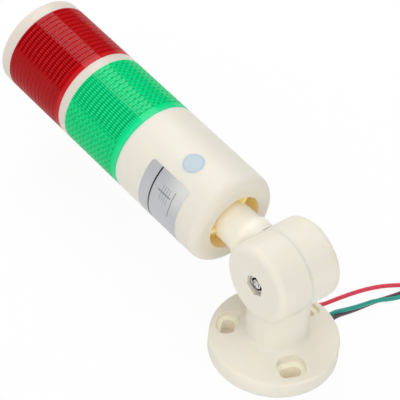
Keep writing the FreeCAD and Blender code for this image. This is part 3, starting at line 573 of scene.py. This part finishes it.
@dataclass(frozen=True)
class LabelFoil:
    """Matt silver label: a dark rule round the tower, a faint generic line drawing and a painted
    glare.
    """

    silver: Colour = srgb(196, 197, 200)
    second_silver: Colour = srgb(185, 187, 191)
    # Painted glare: a lighter patch towards one corner of the label.
    painted_shine: Colour = srgb(228, 228, 224)
    shine_stations: Span = (70.0 * MM, 53.0 * MM)
    shine_turns: Span = (84.0, 46.0)
    rule: Colour = srgb(26, 26, 28)
    rule_stations: Span = (71.7 * MM, 72.5 * MM)
    rule_edge: float = 0.12 * MM
    ink: Colour = srgb(104, 104, 106)
    ink_edge: float = 0.18 * MM
    lead_spacing: float = 1.6 * MM
    lead_edge: Span = (0.72, 0.95)
    ink_lines: Sequence = ((60.0, 66.0, 57.0, 76.0, 0.5), (59.0, 68.0, 65.0, 66.2, 0.4),
                           (57.6, 57.9, 55.0, 88.0, 0.5))
    patch_size: float = 14.0 * MM
    grain_size: float = 0.2 * MM

    def build(self, tower: TowerMeasures) -> Material:
        """Make the material. Each printed line is a product of steps of station and turn."""
        graph = Graph.named("label_foil")
        place = TowerPlace.of(graph, tower)
        foil = graph.mix(graph.noise(self.patch_size), self.silver, self.second_silver)
        lit = place.station.rise(*self.shine_stations) * place.turn.rise(*self.shine_turns)
        printed = graph.mix(self.drawing(place) * 0.8, graph.mix(lit, foil, self.painted_shine), self.ink)
        ruled = place.station.within(*self.rule_stations, self.rule_edge)
        grain = graph.noise(self.grain_size)
        return graph.principled(Base_Color=graph.mix(ruled, printed, self.rule), Metallic=0.12,
                                Roughness=grain * 0.1 + 0.36, Normal=graph.bump(grain, 0.002 * MM))

    def drawing(self, place: TowerPlace) -> Port:
        """A generic wiring sketch: four parallel leads that end on one cross line and a frame.
        Each has its stations in millimetres, its turns and the softness of its ends."""
        leads, cross, border = (
            place.station.within(low * MM, high * MM, self.ink_edge) * place.turn.within(*turns)
            for low, high, *turns in self.ink_lines)
        lead = (place.station / self.lead_spacing).triangle().rise(*self.lead_edge)
        return (leads * lead + cross + border).smaller(1.0)


@dataclass(frozen=True)
class DotPaper:
    """Pale blue paper dot with a slightly darker printed border."""

    centre_station: float
    centre_turn: float
    radius: float
    paper: Colour = srgb(196, 210, 218)
    second_paper: Colour = srgb(186, 201, 210)
    border: Colour = srgb(150, 178, 205)
    border_inset: Span = (0.75 * MM, 0.5 * MM)
    border_edge: float = 0.1 * MM
    fibre_size: float = 0.5 * MM
    fibre_depth: float = 0.004 * MM

    def build(self, tower: TowerMeasures) -> Material:
        """Make the material: the border follows the distance from the dot's centre."""
        graph = Graph.named("dot_paper")
        place = TowerPlace.of(graph, tower)
        along = place.station - self.centre_station
        across = (place.turn - self.centre_turn) * (math.radians(1.0) * tower.radius)
        inner, outer = (self.radius - inset for inset in self.border_inset)
        border = along.apart(across).within(inner, outer, self.border_edge)
        fibre = graph.noise(self.fibre_size, 3.0)
        colour = graph.mix(fibre, self.paper, self.second_paper)
        colour = graph.mix(border * 0.5, colour, self.border)
        return graph.principled(Base_Color=colour, Roughness=fibre * 0.1 + 0.5,
                                Normal=graph.bump(fibre, self.fibre_depth))


# Meshes


def full_turn(columns: int) -> Array:
    """That many evenly spaced angles round a full turn."""
    return np.linspace(0, 2 * math.pi, columns, endpoint=False)


def add_object(name: str, data: bpy.types.ID) -> Object:
    """Put a mesh, curve, lamp or camera into the scene."""
    thing = bpy.data.objects.new(name, data)
    bpy.context.scene.collection.objects.link(thing)
    return thing


def grid_quads(rows: int, columns: int, close_rows: bool = False, close_columns: bool = False,
               first: int = 0) -> Array:
    """Corner numbers of the four-sided faces of a grid of points.

    Args:
        rows: How many rows of points there are.
        columns: How many points a row has.
        close_rows: Whether the last row joins the first.
        close_columns: Whether a row's last point joins its first.
        first: The number of the grid's first point.

    Returns:
        An array with four corner numbers for each face.
    """
    row = np.arange(rows if close_rows else rows - 1)
    column = np.arange(columns if close_columns else columns - 1)
    row, column = np.meshgrid(row, column, indexing="ij")
    next_row = (row + 1) % rows
    next_column = (column + 1) % columns
    corners = [row * columns + column, row * columns + next_column,
               next_row * columns + next_column, next_row * columns + column]
    return np.stack([corner.ravel() for corner in corners], axis=1) + first


def make_piece(name: str, points: Array, faces: Sequence[Sequence[int]],
               material: Material, smooth_angle: float = 40.0) -> Object:
    """Make a mesh object whose place is in its mesh and whose faces point outwards.

    Args:
        name: The piece's name.
        points: Its points in metres, one row each.
        faces: Corner numbers of its faces.
        material: Its finish.
        smooth_angle: Edges that turn by more than this many degrees stay sharp.

    Returns:
        The object.
    """
    mesh = bpy.data.meshes.new(name)
    mesh.from_pydata(points.reshape(-1, 3).tolist(), [], [list(face) for face in faces])
    mesh.materials.append(material)
    mesh.update()
    volume = sum(polygon.area * polygon.center.dot(polygon.normal) for polygon in mesh.polygons)
    if volume < 0:
        mesh.flip_normals()
    mesh.shade_smooth()
    mesh.set_sharp_from_angle(angle=math.radians(smooth_angle))
    return add_object(name, mesh)


def closed_plate(outer: Array, inner: Array) -> tuple[Array, list]:
    """Join two equal grids into one closed plate.

    Args:
        outer: The outer face's points, as rows by columns by 3.
        inner: The inner face's points in the same order.

    Returns:
        The points and the faces: both grids and a wall along their shared edge.
    """
    rows, columns = outer.shape[:2]
    count = rows * columns
    index = np.arange(count).reshape(rows, columns)
    rim = np.concatenate([index[0, :-1], index[:-1, -1], index[-1, :0:-1], index[:0:-1, 0]])
    after = np.roll(rim, -1)
    wall = np.stack([rim, after, after + count, rim + count], axis=1)
    outside = grid_quads(rows, columns)[:, ::-1]
    inside = grid_quads(rows, columns, first=count)
    points = np.concatenate([outer.reshape(-1, 3), inner.reshape(-1, 3)])
    return points, np.concatenate([outside, inside, wall]).tolist()


def dress(material: Material, *nodes: str) -> None:
    """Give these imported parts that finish."""
    for node in nodes:
        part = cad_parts[node]
        if not part.data.materials:
            part.data.materials.append(material)
        for slot in part.material_slots:
            slot.material = material
        LOG.info("%s wears %s", node, material.name)


# The folding base


@dataclass
class FoldingBase:
    """Foot, half-drums and the fasteners of the fold."""

    tower: TowerMeasures
    bolt_radius: float = 3.0 * MM
    thread_pitch: float = 1.0 * MM
    thread_depth: float = 0.5 * MM
    thread_turns: int = 21
    hexagon: float = 10.0 * MM
    rows_per_turn: int = 8
    gap_reach: Span = (-0.45 * MM, 0.35 * MM)
    tip_chamfer: float = 0.7 * MM
    run_out: float = 0.3 * MM
    head_height: float = 4.0 * MM
    head_face: float = 0.95
    head_dish: float = 0.8
    seat_chamfer: float = 0.35 * MM
    head_chamfer: float = 0.5 * MM
    nut_face: float = 0.97
    nut_chamfer: float = 0.45 * MM
    nut_clearance: float = 0.08 * MM
    nut_thread_inset: float = 0.4 * MM
    nut_thread_depth: float = 0.25 * MM
    columns: int = 72
    sharp_angle: float = 30.0
    seam_width: float = 0.15 * MM
    seam_depth: float = 0.01 * MM
    seam_reach: float = 2.0 * MM

    def build(self) -> None:
        """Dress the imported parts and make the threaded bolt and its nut."""
        dress(FootPlastic(tower=self.tower).build(), "base_bracket")
        dress(ArmPlastic(tower=self.tower).build(), "tilt_arm")
        steel = MetalFinish(Metal.ZINC_STEEL)
        dress(steel.build(), "head_washer", "spring_washer")
        dress(WHITE_PLASTIC.build(), "friction_washer")
        low, high = (self.bolt_radius + reach for reach in self.gap_reach)
        threaded = steel.build((self.tower.pivot_height, low, high))
        self.make_bolt(threaded)
        self.make_nut(threaded)
        self.make_seam_ring()

    def hexagon_radius(self, turn: Array) -> Array:
        """Distance from the centre to a hexagon's side: half the flats over the cosine of the
        angle from the nearest flat's middle."""
        sixth = math.pi / 3
        from_flat = np.mod(turn + sixth / 2, sixth) - sixth / 2
        return self.hexagon / 2 / np.cos(from_flat)

    def turned(self, across: Array, radius: Array, turn: Array) -> Array:
        """Points about the fold axis: x is the place across, and y and z are the radius times
        the cosine and sine of the turn."""
        return np.stack([across + 0 * turn, radius * np.cos(turn),
                         self.tower.pivot_height + radius * np.sin(turn)], axis=-1)

    def loops(self, corners: Sequence[tuple], turn: Array) -> list[Array]:
        """Closed rows of points, one for each pair of a place across and a radius."""
        return [self.turned(across, radius, turn)[None] for across, radius in corners]

    def thread(self, across: Array, turn: Array, crest: float, depth: float) -> Array:
        """Radius of a thread: the crest less the depth times a triangle wave that climbs one
        pitch for each turn, with its tips cut flat."""
        phase = np.mod(across / self.thread_pitch - turn / (2 * math.pi), 1.0)
        wave = np.clip(np.abs(2 * phase - 1) * 1.5 - 0.25, 0.0, 1.0)
        return crest - depth * wave

    def make_bolt(self, steel: Material) -> None:
        """One closed surface from the chamfered tip along the thread to the hexagon head."""
        low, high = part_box("pivot_bolt")
        seat = high.x - self.head_height
        turn = full_turn(self.columns)
        thread_end = low.x + self.thread_turns * self.thread_pitch
        along = np.arange(low.x, thread_end, self.thread_pitch / self.rows_per_turn)[:, None]
        chamfer = (along - low.x) + self.bolt_radius - self.tip_chamfer
        threaded = self.thread(along, turn, self.bolt_radius, self.thread_depth)
        threaded = np.minimum(threaded, np.minimum(chamfer, self.bolt_radius))
        hexagon = self.hexagon_radius(turn)
        rim = self.hexagon / 2 * self.head_face
        face = np.minimum(hexagon, rim)
        steps = [(thread_end + self.run_out, self.bolt_radius), (seat, self.bolt_radius),
                 (seat, face), (seat + self.seat_chamfer, hexagon),
                 (high.x - self.head_chamfer, hexagon), (high.x, face),
                 (high.x, rim * self.head_dish)]
        points = np.concatenate([self.turned(along, threaded, turn), *self.loops(steps, turn)])
        count = len(points)
        faces = grid_quads(count, self.columns, close_columns=True).tolist()
        faces.append(list(range(self.columns)))
        faces.append(list(range((count - 1) * self.columns, count * self.columns))[::-1])
        piece = make_piece("threaded_bolt", points, faces, steel, self.sharp_angle)
        self.settle(piece, "pivot_bolt")

    def make_nut(self, steel: Material) -> None:
        """A ring of rows that runs along the outside, over both chamfered faces and back
        through the threaded bore."""
        low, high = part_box("pivot_nut")
        turn = full_turn(self.columns)
        hexagon = self.hexagon_radius(turn)
        face = np.minimum(hexagon, self.hexagon / 2 * self.nut_face)
        bore = self.bolt_radius + self.nut_clearance
        mouth = bore + self.nut_chamfer
        outside = [(low.x, mouth), (low.x, face), (low.x + self.nut_chamfer, hexagon),
                   (high.x - self.nut_chamfer, hexagon), (high.x, face), (high.x, mouth)]
        along = np.arange(high.x - self.nut_thread_inset, low.x + self.nut_thread_inset,
                          -self.thread_pitch / self.rows_per_turn)[:, None]
        depth = self.nut_thread_depth
        inner = self.turned(along, self.thread(along, turn, bore + depth, depth), turn)
        points = np.concatenate([*self.loops(outside, turn), inner])
        faces = grid_quads(len(points), self.columns, close_rows=True, close_columns=True).tolist()
        piece = make_piece("threaded_nut", points, faces, steel, self.sharp_angle)
        self.settle(piece, "pivot_nut")

    def make_seam_ring(self) -> None:
        """A thin flat ring that closes the seam between the half-drums: four loops, each with
        the place across and the radius of one corner of its cross-section."""
        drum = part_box("base_bracket")[1].z - self.tower.pivot_height
        turn = full_turn(self.columns * 2)
        half = self.seam_width / 2
        outer, inner = drum - self.seam_depth, drum - self.seam_reach
        corners = [(-half, outer), (half, outer), (half, inner), (-half, inner)]
        points = np.concatenate(self.loops(corners, turn))
        faces = grid_quads(len(corners), len(turn), close_rows=True, close_columns=True).tolist()
        cream = CreamPlastic("cream_seam", translucency=0.0).build()
        ring = make_piece("seam_ring", points, faces, cream, self.sharp_angle)
        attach(ring, "base")
        LOG.info("%s closes the seam of the drum", ring.name)

    @staticmethod
    def settle(piece: Object, node: str) -> None:
        """Let a fastener ride with the tower and stand for its plain part."""
        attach(piece, "tower")
        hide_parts(node)
        LOG.info("%s stands for %s", piece.name, node)


# The tower


@dataclass
class TowerCasings:
    """Housing, ring, cap, nut and seals."""

    tower: TowerMeasures

    def build(self) -> None:
        """Dress every casing."""
        dress(HousingPlastic(tower=self.tower).build(), "body_housing")
        cream = CreamPlastic("cream_casing", srgb(223, 214, 203), srgb(218, 208, 196))
        dress(cream.build(), "layer_ring", "top_cap")
        dress(WHITE_PLASTIC.build(), "neck_nut")
        dress(SEAL_RUBBER.build(), "body_seal", "ring_lower_seal", "ring_upper_seal", "cap_seal",
              "neck_gasket")


@dataclass
class LightLayer:
    """One lens with its round board, column, strips and chips."""

    tower: TowerMeasures
    colour: LensColour

    def build(self, laminate: Material, frame_plastic: Material, resin: Material) -> None:
        """Dress the layer's parts."""
        name = self.colour.name.lower()
        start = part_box(f"{name}_lens")[0].y + self.tower.spigot
        dress(LensPlastic(self.colour, start).build(self.tower), f"{name}_lens")
        dress(laminate, f"{name}_led_base", f"{name}_led_strips")
        dress(frame_plastic, f"{name}_led_column")
        dress(resin, f"{name}_leds")


@dataclass
class Electronics:
    """Driver board with its terminal, capacitors and screws."""

    def build(self, laminate: Material) -> None:
        """Dress the parts."""
        dress(laminate, "driver_board")
        dress(MetalFinish(Metal.ZINC_STEEL).build(), "board_screws")
        dress(TERMINAL_PLASTIC.build(), "terminal_block")
        dress(CAPACITOR_CAN.build(), "capacitors")


@dataclass
class Labels:
    """The bare silver label and the round paper dot on the housing."""

    tower: TowerMeasures
    label_low: float = 51.6 * MM
    label_high: float = 79.6 * MM
    label_turns: Span = (42.8, 135.0)
    label_corner: float = 2.0 * MM
    dot_station: float = 61.8 * MM
    dot_turn: float = 17.2
    dot_radius: float = 5.5 * MM
    gap: float = 0.01 * MM
    thickness: float = 0.06 * MM
    rows: int = 57
    columns: int = 97

    def build(self) -> None:
        """Make both."""
        self.make_label()
        self.make_dot()

    def make_label(self) -> None:
        """A sheet with round corners: the stations run between its ends with a cosine spacing,
        and near each end the turns draw in by the corner's quarter circle."""
        share = (1 - np.cos(np.linspace(0, math.pi, self.rows))) / 2
        station = self.label_low + (self.label_high - self.label_low) * share
        from_end = np.minimum(station - self.label_low, self.label_high - station)
        short = np.clip(self.label_corner - from_end, 0, self.label_corner)
        draw_in = self.label_corner - np.sqrt(self.label_corner ** 2 - short ** 2)
        draw_in /= self.tower.radius
        first, last = (math.radians(turn) for turn in self.label_turns)
        across = np.linspace(0, 1, self.columns)
        turn = (first + draw_in)[:, None] * (1 - across) + (last - draw_in)[:, None] * across
        self.stick("silver_label", turn, station[:, None] + 0 * turn, LabelFoil().build(self.tower))

    def make_dot(self) -> None:
        """A disc wrapped round the housing: a square grid pressed into a circle, where a point
        (a, b) moves to (a sqrt(1 - b b / 2), b sqrt(1 - a a / 2)) times the radius."""
        side = np.linspace(-1, 1, self.rows)
        a, b = np.meshgrid(side, side, indexing="ij")
        along = a * np.sqrt(1 - b * b / 2) * self.dot_radius
        across = b * np.sqrt(1 - a * a / 2) * self.dot_radius
        turn = math.radians(self.dot_turn) + across / self.tower.radius
        paper = DotPaper(self.dot_station, self.dot_turn, self.dot_radius).build(self.tower)
        self.stick("round_dot", turn, self.dot_station + along, paper)

    def stick(self, name: str, turn: Array, station: Array, material: Material) -> None:
        """Wrap a thin closed plate round the housing at those turns and stations."""
        inner = self.tower.point(turn, station, self.tower.radius + self.gap)
        outer = self.tower.point(turn, station, self.tower.radius + self.gap + self.thickness)
        points, faces = closed_plate(outer, inner)
        piece = make_piece(name, points, faces, material)
        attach(piece, "tower")
        LOG.info("%s lies on the housing", name)


# The leads


RED_ROUTE = [(7.4, 1.8, 39.0), (7.2, 1.9, 28.5), (7.4, 2.0, 18.0), (8.0, 2.6, 9.6),
    (10.6, 5.6, 3.2), (15.6, 10.6, 1.1), (22.0, 14.4, 1.1), (28.8, 12.8, 1.1), (33.0, 9.8, 1.1),
    (36.24, 6.45, 1.1), (41.57, 5.59, 1.1), (48.96, 4.45, 1.1), (59.49, 2.35, 1.1),
    (69.96, -1.29, 1.1), (78.53, -6.44, 1.1), (86.2, -11.7, 1.1)]
GREEN_ROUTE = [(9.7, 0.1, 39.0), (9.9, 0.0, 28.5), (9.7, -0.1, 18.0), (10.2, -0.8, 9.6),
    (12.8, -3.0, 3.2), (18.0, -5.8, 1.1), (24.6, -5.6, 1.1), (30.8, -2.4, 1.1), (37.21, -0.9, 1.9),
    (43.13, -4.46, 3.45), (50.72, -6.61, 3.45), (59.37, -8.35, 3.5), (69.12, -13.85, 3.8),
    (78.61, -15.92, 5.2)]
GREY_ROUTE = [(7.4, -1.8, 39.0), (7.2, -1.9, 28.5), (7.4, -2.0, 18.0), (7.9, -3.0, 9.6),
    (9.8, -6.2, 3.2), (15.2, -9.3, 1.1), (23.4, -9.2, 1.1), (30.8, -5.0, 1.1), (37.26, -3.0, 1.1),
    (47.49, -5.61, 1.1), (59.73, -7.01, 1.1), (68.81, -9.51, 1.2), (79.8, -12.9, 3.0)]


@dataclass
class Lead:
    """One insulated lead: its listed route, then the turns of its put-away coil."""

    name: str
    route: Sequence[Point]
    entry_heading: float
    layer: int
    length: float
    sheath: PlainMoulding
    radius: float = 1.1 * MM
    layer_step: float = 2.3 * MM
    coil_centre: Span = (86.0 * MM, -29.0 * MM)
    outer_turn: float = 14.6 * MM
    turns: float = 2.8
    points_per_turn: int = 16
    bare_length: float = 6.0 * MM
    core_radius: float = 0.55 * MM

    def coil_point(self, wound: float) -> Point:
        """A point of the coil after that many turns: the radius falls by one step a turn while
        the place swings clockwise from the entry."""
        radius = self.outer_turn - self.layer_step * wound
        swing = math.radians(90 + self.entry_heading) - 2 * math.pi * wound
        across, along = self.coil_centre
        return (across + radius * math.cos(swing), along + radius * math.sin(swing),
                self.radius + self.layer_step * self.layer)

    def build(self) -> None:
        end_radius = self.outer_turn - self.layer_step * self.turns
        sheathed = self.turns - self.bare_length / (2 * math.pi * end_radius)
        steps = int(sheathed * self.points_per_turn)
        spots = [tuple(value * MM for value in spot) for spot in self.route]
        spots += [self.coil_point(sheathed * step / steps) for step in range(steps + 1)]
        lead = self.tube(f"{self.name}_lead", spots, self.radius, self.sheath.build())
        rest = self.turns - sheathed
        bare = [self.coil_point(sheathed + rest * step / 4) for step in range(-1, 5)]
        copper = MetalFinish(Metal.TINNED_COPPER).build()
        core = self.tube(f"{self.name}_bare_end", bare, self.core_radius, copper)
        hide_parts(f"{self.name}_wire", f"{self.name}_wire_coil")
        LOG.info("%s is laid", lead.name)

    @staticmethod
    def tube(name: str, spots: Sequence[Point], radius: float,
             material: Material) -> Object:
        """A round cord along a smooth spline that has the points as its control points.

        Args:
            name: The piece's name.
            spots: The control points in metres.
            radius: The cord's radius.
            material: Its finish.

        Returns:
            The curve object, which rides on the base.
        """
        curve = bpy.data.curves.new(name, "CURVE")
        curve.dimensions = "3D"
        curve.bevel_depth = radius
        curve.bevel_resolution = 4
        curve.resolution_u = 6
        curve.use_fill_caps = True
        spline = curve.splines.new("NURBS")
        spline.points.add(len(spots) - 1)
        for point, spot in zip(spline.points, spots):
            point.co = (*spot, 1.0)
        spline.order_u = 3
        spline.use_endpoint_u = True
        curve.materials.append(material)
        cord = add_object(name, curve)
        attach(cord, "base")
        return cord


def build_leads() -> None:
    """Lay the three leads. Grey lies over red in the coil, and green over grey."""
    Lead("red", RED_ROUTE, -32.0, 0, 0.330, RED_SHEATH).build()
    Lead("grey", GREY_ROUTE, -10.0, 1, 0.319, GREY_SHEATH).build()
    Lead("green", GREEN_ROUTE, -10.0, 2, 0.316, GREEN_SHEATH).build()


# The studio


@dataclass
class Studio:
    """Pale floor, soft light and the camera at the photograph's viewpoint."""

    tower: TowerMeasures
    eye: Point = (-0.550940, -0.525035, 0.863976)
    right: Point = (0.77715124, -0.62484724, 0.07484575)
    up: Point = (0.40589604, 0.58857859, 0.69915924)
    back: Point = (-0.48092032, -0.51297288, 0.71103760)
    focal_pixels: float = 2360.65
    frame_pixels: float = 400.0
    sensor: float = 36.0
    clip: Span = (0.05, 20.0)
    floor_radius: float = 4.0
    floor_rings: int = 24
    floor_columns: int = 96
    paper: Colour = (0.86, 0.86, 0.86, 1.0)
    # Painted shade: the paper under the foot darker and browner.
    shaded_paper_under_foot: Colour = (0.74, 0.62, 0.50, 1.0)
    foot_reach: Span = (30.0 * MM, 31.0 * MM)
    shown_white: Span = (0.12, 0.93)
    ambient: float = 0.58
    front_light: float = 1.26
    front_edge: Span = (0.70, 0.95)
    room: float = 0.12
    horizon: Span = (0.10, -0.02)
    softbox_edges: tuple[Point, Point] = ((0.476, 0.576, 0.664), (-0.147, 0.576, 0.804))
    softbox_aim: float = 0.12
    softbox_distance: float = 1.1
    softbox_length: float = 0.42
    softbox_radiance: float = 4.1

    def build(self) -> None:
        """Set the stage."""
        bpy.context.scene.view_settings.view_transform = "Standard"
        self.make_floor()
        self.make_world()
        self.make_softbox()
        self.make_camera()

    def make_floor(self) -> None:
        """A round floor: rings of points whose radius grows with the square of the row."""
        rings, around = self.floor_rings, self.floor_columns
        radius = (np.arange(1, rings + 1) / rings)[:, None] ** 2 * self.floor_radius
        turn = full_turn(around)
        points = np.stack([radius * np.cos(turn), radius * np.sin(turn), 0 * radius * turn], -1)
        faces = grid_quads(rings, around, close_columns=True).tolist() + [list(range(around))]
        make_piece("studio_floor", points, faces, self.floor_finish())

    def floor_finish(self) -> Material:
        """Paper white, that shows itself whiter to the camera and in reflections but keeps the
        object's shadow. Under the foot it is paper in a darker, browner tone of painted shade,
        which the holes of the foot show."""
        graph = Graph.named("studio_paper")
        across, along, _ = graph.place()
        out = across.apart(along).rise(*self.foot_reach)
        tone = graph.mix(out, self.shaded_paper_under_foot, self.paper)
        paper = graph.node("ShaderNodeBsdfDiffuse", None, {"Color": tone})
        glow = graph.node("ShaderNodeEmission", None, {"Color": WHITE, "Strength": 1.0})
        camera, mirrored = self.rays(graph)
        least, most = self.shown_white
        white = camera.larger(mirrored) * (out * (most - least) + least)
        surface = graph.node("ShaderNodeMixShader", None,
                             {0: white, 1: paper.outputs[0], 2: glow.outputs[0]})
        graph.node("ShaderNodeOutputMaterial", None, {"Surface": surface.outputs[0]})
        return graph.owner

    @staticmethod
    def rays(graph: Graph) -> tuple[Port, Port]:
        """Two masks: 1 on rays from the camera, and 1 on rays in reflections and through clear
        pieces. Both are 0 on light."""
        path = graph.node("ShaderNodeLightPath")
        camera, glossy, clear = (Port(graph, path.outputs[f"Is {kind} Ray"])
                                 for kind in ("Camera", "Glossy", "Transmission"))
        return camera, glossy.larger(clear)

    def make_world(self) -> None:
        """White behind the object. Reflections show the white paper up to the horizon and the
        dim room above it. As light, a soft level with a broad brighter patch on the front side."""
        graph = Graph(bpy.data.worlds.new("studio"))
        across, along, up = graph.place("Generated")
        camera, mirrored = self.rays(graph)
        front = across * self.back[0] + along * self.back[1] + up * self.back[2]
        light = front.rise(*self.front_edge) * self.front_light + self.ambient
        room = up.rise(*self.horizon) * (1 - self.room) + self.room
        level = camera + mirrored * room + (1 - camera.larger(mirrored)) * light
        shade = graph.node("ShaderNodeBackground", None, {"Color": WHITE, "Strength": level})
        graph.node("ShaderNodeOutputWorld", None, {"Surface": shade.outputs[0]})
        bpy.context.scene.world = graph.owner

    def make_softbox(self) -> None:
        """A long softbox above the tower, whose edges show in the lenses."""
        first, second = (np.array(edge) * self.softbox_distance for edge in self.softbox_edges)
        aim = Vector((0.0, self.softbox_aim, self.tower.pivot_height))
        middle = aim + Vector((first + second) / 2)
        width = float(np.linalg.norm(first - second))
        across = Vector(first - second).normalized()
        facing = (middle - aim).normalized()
        along = facing.cross(across).normalized()
        facing = across.cross(along)
        lamp = bpy.data.lights.new("softbox", "AREA")
        lamp.shape = "RECTANGLE"
        lamp.size = width
        lamp.size_y = self.softbox_length
        lamp.energy = self.softbox_radiance * math.pi * width * self.softbox_length
        self.stand("softbox", lamp, (across, along, facing), middle)

    def make_camera(self) -> None:
        """The camera of the photograph."""
        view = bpy.data.cameras.new("camera")
        view.sensor_width = self.sensor
        view.lens = self.focal_pixels / self.frame_pixels * self.sensor
        view.clip_start, view.clip_end = self.clip
        axes = (self.right, self.up, self.back)
        bpy.context.scene.camera = self.stand("camera", view, axes, self.eye)

    @staticmethod
    def stand(name: str, data: bpy.types.ID, axes: Sequence,
              spot: Sequence[float]) -> Object:
        """Put a lamp or camera at a spot, with its own three axes along those directions."""
        turned = Matrix(axes).transposed().to_4x4()
        turned.translation = spot
        thing = add_object(name, data)
        thing.matrix_world = turned
        return thing


def main() -> None:
    """Build every sub-assembly in order, then the studio."""
    logging.basicConfig(level=logging.INFO, format="%(name)s: %(message)s")
    tower = TowerMeasures.read()
    laminate = BOARD_LAMINATE.build()
    frame_plastic = COLUMN_PLASTIC.build()
    resin = CHIP_RESIN.build()
    FoldingBase(tower).build()
    TowerCasings(tower).build()
    for colour in (LensColour.GREEN, LensColour.RED):
        LightLayer(tower, colour).build(laminate, frame_plastic, resin)
    Electronics().build(laminate)
    Labels(tower).build()
    build_leads()
    Studio(tower).build()


if __name__ == "__main__":
    main()
